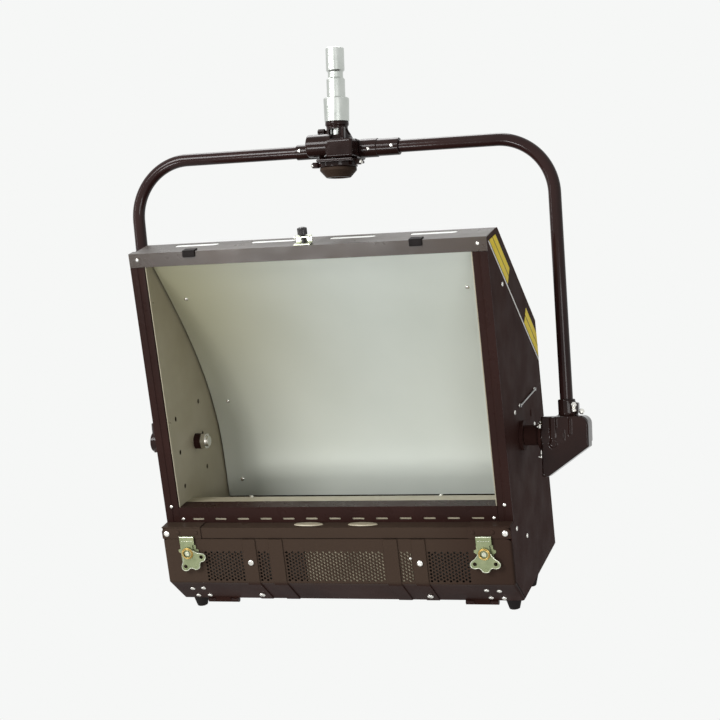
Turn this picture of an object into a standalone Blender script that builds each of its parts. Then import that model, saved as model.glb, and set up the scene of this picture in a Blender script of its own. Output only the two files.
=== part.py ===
"""A studio soft light that hangs from a spigot in a bent tube yoke.

Two linear lamps are hidden in the bottom of the head. They shine up on a curved
reflector, and the soft light leaves through the open front window. A geared head
at the top of the yoke pans it, and a worm gear at the yoke's right end tilts it.

Lengths are in millimetres and are turned to metres by MM when a mesh is made.
Every height is measured from the tilt axis, X is to the right as seen from the
front, and the front faces -Y. The head is modelled level, and its empty tilts it.
"""
import math

import bmesh
import bpy
from mathutils import Matrix, Vector

MM = 0.001
GAP = 0.3

# Driving dimensions of the whole light
HEAD_HALF = 270.0
REST_TILT = 15.2
SPIGOT_TOP = 590.0
BAR_HEIGHT = 435.5
RIGHT_ARM = (340.0, 1.5)
LEFT_ARM = (305.5, -4.25)
YOKE_BEND = 85.0
TUBE_RADIUS = 9.5
TUBE_BORE = 7.5

# Outline of the head, seen from its side
SHEET = 1.5
FRONT_Y = -96.0
TOP_Z = 318.0
TOP_BACK_Y = -28.0
REAR_Y = 155.0
SLOPE_FOOT_Z = 134.0
BASE_Z = -228.0
HOUSING_Y = -118.0
SHELF_Z = -99.0
DOOR_TOP_Z = -116.1
CREASE_Z = -185.0
DOOR_FOOT_Y = -72.0

# Front window and what surrounds it
WINDOW_HALF = 248.0
WINDOW_TOP = 299.0
WINDOW_FOOT = -74.5
END_PLATE_X = 246.0
REFLECTOR_TOP = (-80.0, 304.0)
REFLECTOR_BEND = (10.0, 184.0)
REFLECTOR_PULL = (95.0, 70.0)
REFLECTOR_FOOT = (95.0, -60.0)
REFLECTOR_END_Z = -124.0
REFLECTOR_STEPS = 14

# Door hinge, latches and lamps
DOOR_AXIS = (-70.0, -234.0)
LATCH_X = 230.0
LATCH_PIVOT_Z = -137.0
LEFT_WING_TURN = 29.0
LAMP_Y = -48.0
LAMP_Z = -160.0
LAMP_LENGTH = 189.0

# Pan gearing, all on upright shafts
PAN_GEAR_TEETH = 34
LAY_PINION_TEETH = 10
LAY_GEAR_TEETH = 28
CUP_PINION_TEETH = 16
LAY_Y = -22.0

# Tilt gearing: a wheel on the tilt shaft and an upright worm behind it
TILT_WHEEL_TEETH = 30
TILT_WHEEL_X = 324.0
WORM_Y = 23.5

ORIGIN_DROP = Matrix.Translation((0.0, 0.0, -SPIGOT_TOP * MM))


def clear_scene():
    for thing in list(bpy.data.objects):
        bpy.data.objects.remove(thing)
    for group in list(bpy.data.collections):
        bpy.data.collections.remove(group)


def new_collection(name):
    group = bpy.data.collections.new(name)
    bpy.context.scene.collection.children.link(group)
    return group


def make_material(name, colour, roughness, metallic):
    surface = bpy.data.materials.new(name)
    surface.use_nodes = True
    shader = surface.node_tree.nodes["Principled BSDF"]
    shader.inputs["Base Color"].default_value = (*colour, 1.0)
    shader.inputs["Roughness"].default_value = roughness
    shader.inputs["Metallic"].default_value = metallic
    surface.diffuse_color = (*colour, 1.0)
    return surface


clear_scene()
PARTS = new_collection("studio_soft_light")
CUTTERS = new_collection("cutters")

PAINT = make_material("black_paint", (0.030, 0.019, 0.017), 0.42, 0.0)
CASTING = make_material("black_casting", (0.024, 0.018, 0.018), 0.38, 0.0)
SATIN = make_material("satin_aluminium", (0.62, 0.66, 0.60), 0.40, 0.85)
PLATED = make_material("bright_plated_steel", (0.72, 0.72, 0.70), 0.25, 1.0)
ZINC = make_material("yellow_zinc", (0.60, 0.64, 0.40), 0.30, 0.9)
STEEL = make_material("machined_steel", (0.45, 0.45, 0.46), 0.35, 1.0)
BRONZE = make_material("gear_bronze", (0.55, 0.36, 0.15), 0.40, 1.0)
RUBBER = make_material("black_rubber", (0.020, 0.020, 0.020), 0.80, 0.0)
CERAMIC = make_material("white_ceramic", (0.78, 0.75, 0.68), 0.50, 0.0)
QUARTZ = make_material("lamp_quartz", (0.85, 0.88, 0.90), 0.08, 0.0)
PLASTIC = make_material("black_plastic", (0.025, 0.025, 0.027), 0.45, 0.0)


def keep(name, mesh, surface, group=PARTS):
    """Make the object of a finished mesh, in the collection of parts."""
    thing = bpy.data.objects.new(name, mesh)
    group.objects.link(thing)
    mesh.materials.clear()
    mesh.materials.append(surface)
    return thing


def from_bmesh(name, shape, surface):
    mesh = bpy.data.meshes.new(name)
    bmesh.ops.recalc_face_normals(shape, faces=shape.faces)
    shape.to_mesh(mesh)
    shape.free()
    return keep(name, mesh, surface)


def smooth(thing, angle=32.0):
    thing.data.shade_smooth()
    thing.data.set_sharp_from_angle(angle=math.radians(angle))
    return thing


def box(name, low, high, surface, bevel=0.0):
    shape = bmesh.new()
    bmesh.ops.create_cube(shape, size=1.0)
    size = Vector(high) - Vector(low)
    middle = (Vector(high) + Vector(low)) / 2.0
    bmesh.ops.scale(shape, vec=size * MM, verts=shape.verts)
    bmesh.ops.translate(shape, vec=middle * MM, verts=shape.verts)
    thing = from_bmesh(name, shape, surface)
    if bevel:
        edge = thing.modifiers.new("rounded_edges", "BEVEL")
        edge.width = bevel * MM
        edge.segments = 2
    return thing


def rod(name, start, end, radius, surface, sides=24):
    """A round bar between two points."""
    start = Vector(start)
    end = Vector(end)
    along = end - start
    shape = bmesh.new()
    bmesh.ops.create_cone(
        shape,
        cap_ends=True,
        segments=sides,
        radius1=radius * MM,
        radius2=radius * MM,
        depth=along.length * MM,
    )
    turn = along.to_track_quat("Z", "Y").to_matrix().to_4x4()
    place = Matrix.Translation((start + end) / 2.0 * MM) @ turn
    bmesh.ops.transform(shape, matrix=place, verts=shape.verts)
    return smooth(from_bmesh(name, shape, surface))


def turned(name, profile, surface, place=None, sides=32, ring=False):
    """A lathe profile of (radius, height), run from the top down its outer side."""
    mesh = bpy.data.meshes.new(name)
    points = [(radius * MM, 0.0, height * MM) for radius, height in profile]
    edges = [(i, i + 1) for i in range(len(points) - 1)]
    if ring:
        edges.append((len(points) - 1, 0))
    mesh.from_pydata(points, edges, [])
    thing = keep(name, mesh, surface)
    screw = thing.modifiers.new("lathe", "SCREW")
    screw.steps = sides
    screw.render_steps = sides
    screw.use_merge_vertices = True
    screw.merge_threshold = 0.00001
    screw.use_smooth_shade = True
    if place is not None:
        thing.matrix_world = place
    return thing


def along_x(x, y=0.0, z=0.0):
    """Lay a lathe profile down, so that its height runs along +X from a point."""
    return Matrix.Translation(Vector((x, y, z)) * MM) @ Matrix.Rotation(math.pi / 2.0, 4, "Y")


def flat_frame(plane, low, high):
    """Turn a drawing's axes into the plane's own, half way through its thickness."""
    middle = (low + high) / 2.0 * MM
    if plane == "YZ":
        turn = Matrix(((0, 0, 1, 0), (1, 0, 0, 0), (0, 1, 0, 0), (0, 0, 0, 1)))
        return Matrix.Translation((middle, 0.0, 0.0)) @ turn
    if plane == "XZ":
        turn = Matrix(((1, 0, 0, 0), (0, 0, -1, 0), (0, 1, 0, 0), (0, 0, 0, 1)))
        return Matrix.Translation((0.0, middle, 0.0)) @ turn
    return Matrix.Translation((0.0, 0.0, middle))


def plate(name, outline, plane, low, high, surface, holes=()):
    """A flat outline with holes, as thick as the span from low to high."""
    drawing = bpy.data.curves.new(name, "CURVE")
    drawing.dimensions = "2D"
    drawing.fill_mode = "BOTH"
    drawing.extrude = abs(high - low) / 2.0 * MM
    for points in [outline, *holes]:
        spline = drawing.splines.new("POLY")
        spline.points.add(len(points) - 1)
        spline.use_cyclic_u = True
        for place, (u, v) in zip(spline.points, points):
            place.co = (u * MM, v * MM, 0.0, 1.0)
    return curve_to_part(name, drawing, surface, flat_frame(plane, low, high))


def curve_to_part(name, drawing, surface, place=Matrix.Identity(4)):
    """Turn a curve into a closed mesh, because a curve takes no Boolean."""
    guide = bpy.data.objects.new(name + "_curve", drawing)
    bpy.context.scene.collection.objects.link(guide)
    graph = bpy.context.evaluated_depsgraph_get()
    mesh = bpy.data.meshes.new_from_object(guide.evaluated_get(graph))
    bpy.data.objects.remove(guide)
    shape = bmesh.new()
    shape.from_mesh(mesh)
    bmesh.ops.remove_doubles(shape, verts=shape.verts, dist=0.000001)
    bmesh.ops.transform(shape, matrix=place, verts=shape.verts)
    bmesh.ops.recalc_face_normals(shape, faces=shape.faces)
    shape.to_mesh(mesh)
    shape.free()
    mesh.name = name
    return smooth(keep(name, mesh, surface))


def circle(u, v, radius, sides=12):
    turn = 2.0 * math.pi / sides
    return [(u + radius * math.cos(i * turn), v + radius * math.sin(i * turn)) for i in range(sides)]


def slot(u, v, length, width, sides=6):
    """A hole with round ends, its long way along u."""
    half = (length - width) / 2.0
    right = [(u + half + width / 2.0 * math.sin(a), v - width / 2.0 * math.cos(a)) for a in half_turn(sides)]
    left = [(u - half - width / 2.0 * math.sin(a), v + width / 2.0 * math.cos(a)) for a in half_turn(sides)]
    return right + left


def half_turn(sides):
    return [math.pi * i / sides for i in range(sides + 1)]


def folded(name, profile, half_width, surface, thickness=SHEET, side=1.0, low=None):
    """A bent sheet: a line of (y, z) points drawn out along X, with a wall."""
    low = -half_width if low is None else low
    mesh = bpy.data.meshes.new(name)
    points = []
    for y, z in profile:
        points.append((low * MM, y * MM, z * MM))
        points.append((half_width * MM, y * MM, z * MM))
    count = len(profile)
    faces = [(2 * i, 2 * i + 1, 2 * i + 3, 2 * i + 2) for i in range(count - 1)]
    mesh.from_pydata(points, [], faces)
    thing = keep(name, mesh, surface)
    wall = thing.modifiers.new("wall", "SOLIDIFY")
    wall.thickness = thickness * MM
    wall.offset = side
    wall.use_even_offset = True
    return smooth(thing)


def change(target, other, operation):
    """Cut a piece with a tool, or join a lump to it, and put the tool away."""
    PARTS.objects.unlink(other)
    CUTTERS.objects.link(other)
    other.hide_render = True
    other.display_type = "WIRE"
    step = target.modifiers.new(other.name, "BOOLEAN")
    step.object = other
    step.operation = operation
    step.solver = "EXACT"


def cut(target, *tools):
    for tool in tools:
        change(target, tool, "DIFFERENCE")
    return target


def join(target, *lumps):
    for lump in lumps:
        change(target, lump, "UNION")
    return target


def gear_outline(teeth, tip, root):
    points = []
    for tooth in range(teeth):
        for share, radius in ((0.0, root), (0.22, tip), (0.5, tip), (0.72, root)):
            angle = 2.0 * math.pi * (tooth + share) / teeth
            points.append((radius * math.cos(angle), radius * math.sin(angle)))
    return points


def shifted(points, u, v):
    return [(x + u, y + v) for x, y in points]


def axis_empty(name, place, parent=None):
    thing = bpy.data.objects.new(name, None)
    PARTS.objects.link(thing)
    thing.empty_display_size = 0.03
    thing.parent = parent
    thing.matrix_local = place
    return thing


def carry(empty, origin, *things):
    """Hang pieces, and the tools that shape them, on the empty of their axis."""
    shift = Matrix.Translation(-Vector(origin) * MM)
    for thing in things:
        for step in thing.modifiers:
            if step.type == "BOOLEAN":
                carry(empty, origin, step.object)
        place = thing.matrix_basis.copy()
        thing.parent = empty
        thing.matrix_basis = shift @ place


# Hanger: the spigot stays still, and the rest turns under it

SPIGOT_PROFILE = [
    (0.0, SPIGOT_TOP),
    (12.5, SPIGOT_TOP),
    (14.0, SPIGOT_TOP - 1.5),
    (14.0, 556.0),
    (11.5, 553.0),
    (11.5, 545.0),
    (14.0, 542.0),
    (14.0, 515.0),
    (18.5, 514.0),
    (19.5, 512.5),
    (18.7, 478.4),
    (10.0, 478.4),
    (10.0, 444.3),
    (8.0, 444.3),
    (8.0, 432.0),
    (0.0, 432.0),
]
NECK_BORE = 10.0 + GAP
SHAFT_BORE = 8.0 + GAP


def make_hanger():
    spigot = turned("spigot", SPIGOT_PROFILE, PLATED)
    tip = PAN_GEAR_TEETH / 2.0 - GAP / 2.0
    outline = gear_outline(PAN_GEAR_TEETH, tip, tip - 1.8)
    gear = plate("pan_gear", outline, "XY", 436.0, 444.0, STEEL, [circle(0, 0, SHAFT_BORE, 24)])
    return [spigot, gear]


# Yoke: the pan gear casing, two bent tubes and what holds their ends

CASING_LOW = 420.0
CASING_HIGH = 449.5
BARREL_Y = -24.0
BARREL_Z = 441.0


def make_pan_casing():
    casing = box("pan_casing", (-24, -22, CASING_LOW), (37, 24, CASING_HIGH), CASTING, bevel=2.5)
    front = box("casing_front", (-6, -41, CASING_LOW + 0.8), (35.8, 12, CASING_HIGH - 0.9), CASTING, bevel=2.3)
    barrel = rod("casing_barrel", (-37.5, BARREL_Y, BARREL_Z), (0, BARREL_Y, BARREL_Z), 17.0, CASTING, 32)
    neck = turned(
        "casing_neck",
        [(0, 478.1), (17.5, 478.1), (17.5, 468.5), (23.0, 455.5), (23.0, 440.0), (0, 440.0)],
        CASTING,
    )
    join(casing, front, barrel, neck)
    bore = rod("neck_bore", (0, 0, 440), (0, 0, 485), NECK_BORE, CASTING, 32)
    room = rod("gear_room", (0, 0, 410), (0, 0, 446), 19.5, CASTING, 40)
    lay_room = rod("lay_room", (0, LAY_Y, 410), (0, LAY_Y, 446), 15.8, CASTING, 32)
    lay_bore = rod("lay_bore", (0, LAY_Y, 440), (0, LAY_Y, 448), 4.0 + GAP, CASTING)
    sleeve_room = rod("sleeve_room", (-80, 0, BAR_HEIGHT), (-24.2, 0, BAR_HEIGHT), 11.9, CASTING)
    window_x = box("neck_window_x", (-9, -40, 456), (9, 40, 467), CASTING)
    window_y = box("neck_window_y", (-40, -9, 456), (40, 9, 467), CASTING)
    cut(casing, bore, room, lay_room, lay_bore, sleeve_room, window_x, window_y)
    return casing


def make_pan_base():
    base = box("pan_base_plate", (-22, -39, 415), (35, 22, CASING_LOW - GAP), CASTING, bevel=1.0)
    collar = turned("base_collar", [(0, 417), (27.5, 417), (29.5, 415), (29.5, 409.3), (0, 409.3)], CASTING)
    join(base, collar)
    cup_bore = rod("cup_bore", (0, 0, 400), (0, 0, 425), 6.0 + GAP, CASTING)
    lay_hole = rod("lay_hole", (0, LAY_Y, 412), (0, LAY_Y, 425), 4.0 + GAP, CASTING)
    cut(base, cup_bore, lay_hole)
    return base


def arm_line(side):
    """How far out an arm's foot stands, and how far it leans outward."""
    foot, lean = RIGHT_ARM if side > 0 else LEFT_ARM
    return foot, math.radians(lean)


def arm_frame(side):
    """Frame at a yoke arm's foot, on the tilt axis, with Z up along the arm."""
    foot, lean = arm_line(side)
    turn = Matrix.Rotation(-side * lean, 4, "Y")
    return Matrix.Translation((side * foot * MM, 0.0, 0.0)) @ turn


def yoke_path(side, inner_x, foot_z):
    """Centre line of a yoke tube: bar, bend and arm."""
    foot, lean = arm_line(side)
    corner_x = foot - BAR_HEIGHT * math.tan(lean)
    sweep = math.pi / 2.0 - lean
    bend_x = corner_x - YOKE_BEND * math.tan(sweep / 2.0)
    points = [(inner_x, BAR_HEIGHT)]
    steps = 9
    for i in range(steps + 1):
        angle = sweep * i / steps
        x = bend_x + YOKE_BEND * math.sin(angle)
        z = BAR_HEIGHT - YOKE_BEND * (1.0 - math.cos(angle))
        points.append((x, z))
    points.append((foot - foot_z * math.tan(lean), foot_z))
    return [(side * x, 0.0, z) for x, z in points]


def tube_along(name, points, radius, surface):
    drawing = bpy.data.curves.new(name, "CURVE")
    drawing.dimensions = "3D"
    drawing.bevel_depth = radius * MM
    drawing.bevel_resolution = 4
    drawing.use_fill_caps = True
    spline = drawing.splines.new("POLY")
    spline.points.add(len(points) - 1)
    for place, (x, y, z) in zip(spline.points, points):
        place.co = (x * MM, y * MM, z * MM, 1.0)
    return curve_to_part(name, drawing, surface)


def make_yoke_tube(word, side, inner_x, foot_z):
    tube = tube_along("yoke_tube_" + word, yoke_path(side, inner_x, foot_z), TUBE_RADIUS, PAINT)
    bore_path = yoke_path(side, inner_x - 6.0, foot_z - 6.0)
    return cut(tube, tube_along("tube_bore_" + word, bore_path, TUBE_BORE, PAINT))


SLEEVE_BORE = TUBE_RADIUS + GAP


def make_sleeves():
    left = turned(
        "tube_sleeve_left",
        [(10.0, 0.0), (11.6, -1.0), (11.6, -40.0), (SLEEVE_BORE, -40.0), (SLEEVE_BORE, 0.0)],
        CASTING,
        Matrix.Translation(Vector((-24.5, 0.0, BAR_HEIGHT)) * MM) @ Matrix.Rotation(math.pi / 2.0, 4, "Y"),
        ring=True,
    )
    right = turned(
        "tube_sleeve_right",
        [
            (SLEEVE_BORE, 60.7),
            (12.2, 60.7),
            (13.0, 59.7),
            (13.0, 27.0),
            (14.2, 26.5),
            (14.2, 0.0),
            (SLEEVE_BORE, 0.0),
        ],
        CASTING,
        along_x(37.3, 0.0, BAR_HEIGHT),
        ring=True,
    )
    return [left, right]


GEAR_CASE_INNER = 303.3
TILT_OUTLINE = [
    (GEAR_CASE_INNER, 27.5),
    (358.0, 27.5),
    (366.5, 24.0),
    (371.0, 18.0),
    (373.0, 10.0),
    (373.0, -17.0),
    (312.0, -60.0),
    (GEAR_CASE_INNER, -60.0),
]


def make_tilt_casing():
    casing = plate("tilt_casing", TILT_OUTLINE, "XZ", -20.0, 8.0, CASTING)
    round_case = rod("gear_case", (GEAR_CASE_INNER, 0, 0), (337.5, 0, 0), 22.5, CASTING, 36)
    outer = box("outer_case", (345, -19, -18), (372.5, 19, 28), CASTING, bevel=8.0)
    worm_boss = rod("worm_boss", (TILT_WHEEL_X, WORM_Y, -16), (TILT_WHEEL_X, WORM_Y, 20), 11.0, CASTING)
    barrel = turned(
        "tube_barrel",
        [(0, 52), (11.5, 52), (12.8, 51), (12.8, 29), (15.5, 29), (16.5, 28), (16.5, -20), (0, -20)],
        CASTING,
    )
    barrel.matrix_world = arm_frame(1)
    join(casing, round_case, outer, worm_boss, barrel)
    room = rod("wheel_room", (290, 0, 0), (334.0, 0, 0), 18.4, CASTING, 36)
    shaft_bore = rod("shaft_bore", (330, 0, 0), (349.0, 0, 0), SHAFT_BORE, CASTING)
    worm_bore = rod("worm_bore", (TILT_WHEEL_X, WORM_Y, -30), (TILT_WHEEL_X, WORM_Y, 14), 7.2, CASTING)
    tube_bore = rod("tube_socket", (0, 0, 23.7), (0, 0, 60), SLEEVE_BORE, CASTING)
    tube_bore.matrix_world = arm_frame(1)
    return cut(casing, room, shaft_bore, worm_bore, tube_bore)


def make_tilt_cover():
    profile = [
        (SHAFT_BORE, 27.0),
        (21.5, 27.0),
        (21.5, 22.5),
        (15.0, 22.5),
        (15.0, 0.0),
        (SHAFT_BORE, 0.0),
    ]
    return turned("tilt_cover", profile, CASTING, along_x(276.0), ring=True)


BOLT_HEAD_X = -318.0


def make_left_pivot():
    """A compact block close to the head, with the bolt's head let into it."""
    block = turned("pivot_block_left", [(0, 30), (11.6, 30), (12.6, 29), (12.6, -15), (11.6, -16), (0, -16)], CASTING)
    block.matrix_world = arm_frame(-1)
    boss = rod("pivot_boss", (-317.6, 0, 0), (-276, 0, 0), 14.8, CASTING, 28)
    join(block, boss)
    bolt_bore = rod("bolt_bore", (-380, 0, 0), (-260, 0, 0), SHAFT_BORE, CASTING)
    tube_bore = rod("arm_socket", (0, 0, 14), (0, 0, 41), SLEEVE_BORE, CASTING, 20)
    tube_bore.matrix_world = arm_frame(-1)
    seat = rod("bolt_seat", (-380, 0, 0), (BOLT_HEAD_X + 5.8 + GAP, 0, 0), 11.4, CASTING)
    cut(block, bolt_bore, tube_bore, seat)
    bolt_profile = [(0, 93.7), (8, 93.7), (8, 5.8), (11, 5.8), (11, 1.2), (10, 0), (0, 0)]
    bolt = turned("pivot_bolt_left", bolt_profile, PLATED, along_x(BOLT_HEAD_X))
    nut = plate("pivot_nut_left", circle(0, 0, 13, 6), "YZ", -235.7, -228.0, PLATED, [circle(0, 0, SHAFT_BORE, 24)])
    return [block, bolt, nut]


# Drives: the cups that a pole turns from the floor, and their gears

def make_lay_gear():
    tip = LAY_GEAR_TEETH / 2.0 - GAP / 2.0
    small = LAY_PINION_TEETH / 2.0 - GAP / 2.0
    gear = plate("lay_gear", shifted(gear_outline(LAY_GEAR_TEETH, tip, tip - 1.8), 0, LAY_Y), "XY", 424, 430.5, STEEL)
    pinion = plate(
        "lay_pinion", shifted(gear_outline(LAY_PINION_TEETH, small, small - 1.2), 0, LAY_Y), "XY", 430, 444, STEEL
    )
    shaft = rod("lay_shaft", (0, LAY_Y, 415.5), (0, LAY_Y, 447.5), 3.3, STEEL, 16)
    return join(gear, pinion, shaft)


CUP_PROFILE = [
    (0.0, 430.8),
    (6.0, 430.8),
    (6.0, 409.0),
    (27.0, 409.0),
    (28.0, 408.0),
    (28.0, 404.5),
    (18.5, 394.0),
    (12.5, 394.0),
    (12.5, 403.0),
    (0.0, 403.0),
]


def make_pan_drive():
    cup = turned("pan_cup", CUP_PROFILE, PLASTIC)
    tip = CUP_PINION_TEETH / 2.0 - GAP / 2.0
    outline = gear_outline(CUP_PINION_TEETH, tip, tip - 1.2)
    pinion = plate("pan_pinion", outline, "XY", 424, 430.5, STEEL, [circle(0, 0, 6.0 + GAP, 16)])
    return [cup, pinion]


def make_tilt_drive():
    """The worm, with rings for its thread, and the cup under it."""
    profile = [(0, 13.5), (5.0, 13.5), (5.0, 11.0)]
    pitch = 3.1
    for turn in range(7):
        top = 10.8 - turn * pitch
        profile += [(6.3, top), (6.3, top - 0.9), (4.8, top - 1.6), (4.8, top - 2.4)]
    profile += [(4.7, -12.0), (4.7, -33.0), (0, -33.0)]
    place = Matrix.Translation((TILT_WHEEL_X * MM, WORM_Y * MM, 0.0))
    worm = turned("tilt_worm", profile, STEEL, place, sides=20)
    cup_profile = [
        (5.0, -20.8),
        (12.5, -20.8),
        (13.5, -21.8),
        (13.5, -25.5),
        (10.0, -41.0),
        (7.0, -41.0),
        (7.0, -34.0),
        (5.0, -34.0),
    ]
    cup = turned("tilt_cup", cup_profile, PLASTIC, place, ring=True)
    return [worm, cup]


# Head: sheet-metal body

PANEL_X = HEAD_HALF - SHEET
INSIDE = PANEL_X - GAP
DOOR_INSET = SHEET + GAP


def panel_outline():
    front = FRONT_Y + DOOR_INSET
    lower = HOUSING_Y + DOOR_INSET
    foot = BASE_Z + 1.0
    return [
        (front, TOP_Z),
        (TOP_BACK_Y, TOP_Z),
        (REAR_Y, SLOPE_FOOT_Z),
        (REAR_Y, BASE_Z),
        (DOOR_FOOT_Y + 3.0, BASE_Z),
        (DOOR_FOOT_Y - 0.5, foot + 1.5),
        (lower, CREASE_Z + 1.0),
        (lower, SHELF_Z),
        (front, SHELF_Z),
    ]


def make_side_panels():
    bolt_hole = [circle(0, 0, SHAFT_BORE, 20)]
    left = plate("side_panel_left", panel_outline(), "YZ", -HEAD_HALF, -PANEL_X, PAINT, bolt_hole)
    right = plate("side_panel_right", panel_outline(), "YZ", PANEL_X, HEAD_HALF, PAINT, bolt_hole)
    return [left, right]


def reflector_line(offset=0.0):
    """Points down the reflector, from its top front edge, moved back by an offset."""
    points = []
    for i in range(REFLECTOR_STEPS + 1):
        t = i / REFLECTOR_STEPS
        s = 1.0 - t
        spots = (REFLECTOR_TOP, REFLECTOR_BEND, REFLECTOR_PULL, REFLECTOR_FOOT)
        weights = (s ** 3, 3 * s * s * t, 3 * s * t * t, t ** 3)
        y = sum(w * p[0] for w, p in zip(weights, spots))
        z = sum(w * p[1] for w, p in zip(weights, spots))
        points.append((y + offset, z))
    points.append((REFLECTOR_FOOT[0] + offset, REFLECTOR_END_Z))
    return points


END_HOLES = [(y, z) for y in (-64.0, 28.5) for z in (56.0, 3.0, -51.0)]
SMALL_HOLES = [(-86.0, 243.0), (-86.0, 57.0)]
TROUGH_BACK_Y = 97.0
TROUGH_FOOT_Z = -214.0


def end_outline():
    curve = reflector_line(offset=8.0)
    front = FRONT_Y + SHEET + 2.0 * GAP
    lower = [
        (TROUGH_BACK_Y + 6.0, TROUGH_FOOT_Z - 3.0),
        (-74.0, TROUGH_FOOT_Z - 3.0),
        (HOUSING_Y + 6.0, CREASE_Z - 2.0),
        (HOUSING_Y + 6.0, SHELF_Z - 4.0),
        (front, SHELF_Z - 4.0),
    ]
    return [(front, 305.0), *curve, *lower]


def make_end_plates():
    outer = END_PLATE_X + 1.2
    holes = [circle(y, z, 4.0, 10) for y, z in END_HOLES]
    holes += [circle(y, z, 1.8, 8) for y, z in SMALL_HOLES]
    left_holes = holes + [circle(0, 0, 12.0 + GAP, 24)]
    left = plate("end_plate_left", end_outline(), "YZ", -outer, -END_PLATE_X, SATIN, left_holes)
    right = plate("end_plate_right", end_outline(), "YZ", END_PLATE_X, outer, SATIN, holes)
    return [left, right]


VENT_X = [-181.5, -60.5, 60.5, 181.5]


def make_covers():
    vents = [slot(x, -45.0, 70.0, 14.0) for x in VENT_X]
    front = FRONT_Y + 4.0
    edge = [(-INSIDE, front), (INSIDE, front), (INSIDE, TOP_BACK_Y - GAP), (-INSIDE, TOP_BACK_Y - GAP)]
    top = plate("top_panel", edge, "XY", TOP_Z - SHEET, TOP_Z, PAINT, [*vents, circle(0, CATCH_Y, 3.3, 16)])
    back_line = [
        (TOP_BACK_Y + 0.5, TOP_Z - 1.0),
        (REAR_Y, SLOPE_FOOT_Z),
        (REAR_Y, BASE_Z + SHEET + GAP),
    ]
    back = folded("back_panel", back_line, INSIDE, PAINT, side=-1.0)
    low = [(-INSIDE, DOOR_FOOT_Y + 3.0), (INSIDE, DOOR_FOOT_Y + 3.0), (INSIDE, REAR_Y), (-INSIDE, REAR_Y)]
    base = plate("base_panel", low, "XY", BASE_Z, BASE_Z + SHEET, PAINT)
    return [top, back, base]


def make_reflector():
    return folded("reflector", reflector_line(), END_PLATE_X - GAP, SATIN, thickness=1.0, side=-1.0)


# Front frame: channels for accessory frames, top bar with its catch, slotted sill

def channel_outline(side):
    lip = FRONT_Y + SHEET
    back = -84.0
    drawing = [
        (HEAD_HALF, FRONT_Y),
        (HEAD_HALF, lip),
        (INSIDE, lip),
        (INSIDE, -68.0),
        (INSIDE - SHEET, -68.0),
        (INSIDE - SHEET, back + SHEET),
        (252.0, back + SHEET),
        (252.0, back),
        (INSIDE - SHEET, back),
        (INSIDE - SHEET, lip),
        (WINDOW_HALF, lip),
        (WINDOW_HALF, FRONT_Y + 0.5),
        (256.5, FRONT_Y + 0.5),
        (258.0, FRONT_Y + 1.2),
        (259.5, FRONT_Y),
    ]
    return [(side * x, y) for x, y in drawing]


SILL_TOP = WINDOW_FOOT
SLOT_COUNT = 13
SLOT_STEP = 36.3
SLOT_LENGTH = 19.0


def make_front_frame():
    low = SHELF_Z + GAP
    high = WINDOW_TOP - GAP
    left = plate("frame_channel_left", channel_outline(-1), "XY", low, high, PAINT)
    right = plate("frame_channel_right", channel_outline(1), "XY", low, high, PAINT)
    bar_line = [
        (FRONT_Y + SHEET, WINDOW_TOP),
        (FRONT_Y + SHEET, TOP_Z + GAP),
        (-80.0, TOP_Z + GAP),
    ]
    bar = folded("top_bar", bar_line, HEAD_HALF, PAINT, side=1.0)
    cut(bar, rod("catch_hole", (0, CATCH_Y, 300), (0, CATCH_Y, 340), 3.3, PAINT, 16))
    sill_half = WINDOW_HALF - GAP
    sill_outline = [(-sill_half, low), (sill_half, low), (sill_half, SILL_TOP), (-sill_half, SILL_TOP)]
    middle = (SLOT_COUNT - 1) / 2.0
    slots = [slot((i - middle) * SLOT_STEP, -93.0, SLOT_LENGTH, 3.0, 3) for i in range(SLOT_COUNT)]
    sill = plate("slotted_sill", sill_outline, "XZ", FRONT_Y, FRONT_Y + SHEET, PAINT, slots)
    reach = END_PLATE_X - GAP
    ledge = box("sill_ledge", (-reach, FRONT_Y + 0.7, SILL_TOP - SHEET), (reach, -70, SILL_TOP), PAINT)
    join(sill, ledge)
    return [left, right, bar, sill]


def make_shelf():
    line = [
        (FRONT_Y + GAP + SHEET, SHELF_Z),
        (HOUSING_Y, SHELF_Z),
        (HOUSING_Y, DOOR_TOP_Z + GAP),
    ]
    rail = folded("lamp_housing_rail", line, INSIDE, PAINT, side=1.0)
    ends = []
    for side, word in ((-1, "left"), (1, "right")):
        outline = [
            (side * 270, DOOR_TOP_Z + GAP),
            (side * 270, -104.0),
            (side * 267, -100.5),
            (side * 262, -99.0),
            (side * 207, -99.0),
            (side * 207, DOOR_TOP_Z + GAP),
        ]
        plane_low = HOUSING_Y - GAP - SHEET
        ends.append(plate("rail_bracket_" + word, outline, "XZ", plane_low, HOUSING_Y - GAP, PAINT))
    return [rail, *ends]


CATCH_Y = -86.0


def make_catch():
    """A bent bright plate on the top bar, and the spring bolt that locks a frame in."""
    foot = TOP_Z + GAP + SHEET + GAP
    line = [(-95.0, foot), (-80.5, foot), (-80.5, 332.0), (CATCH_Y - 7.0, 332.0)]
    bracket = folded("catch_bracket", line, 12.0, PLATED, thickness=1.6, side=1.0)
    cut(bracket, rod("bracket_hole", (0, CATCH_Y, 300), (0, CATCH_Y, 345), 3.3, PLATED, 16))
    profile = [
        (0, 343.5),
        (6.0, 343.5),
        (7.0, 342.5),
        (7.0, 333.4),
        (6.0, 332.4),
        (3.0, 332.4),
        (3.0, 308.0),
        (2.0, 306.0),
        (0, 306.0),
    ]
    bolt = turned("catch_knob", profile, PLASTIC, Matrix.Translation((0.0, CATCH_Y * MM, 0.0)), sides=24)
    return bracket, bolt


# Lamps and what holds and hides them

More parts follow.
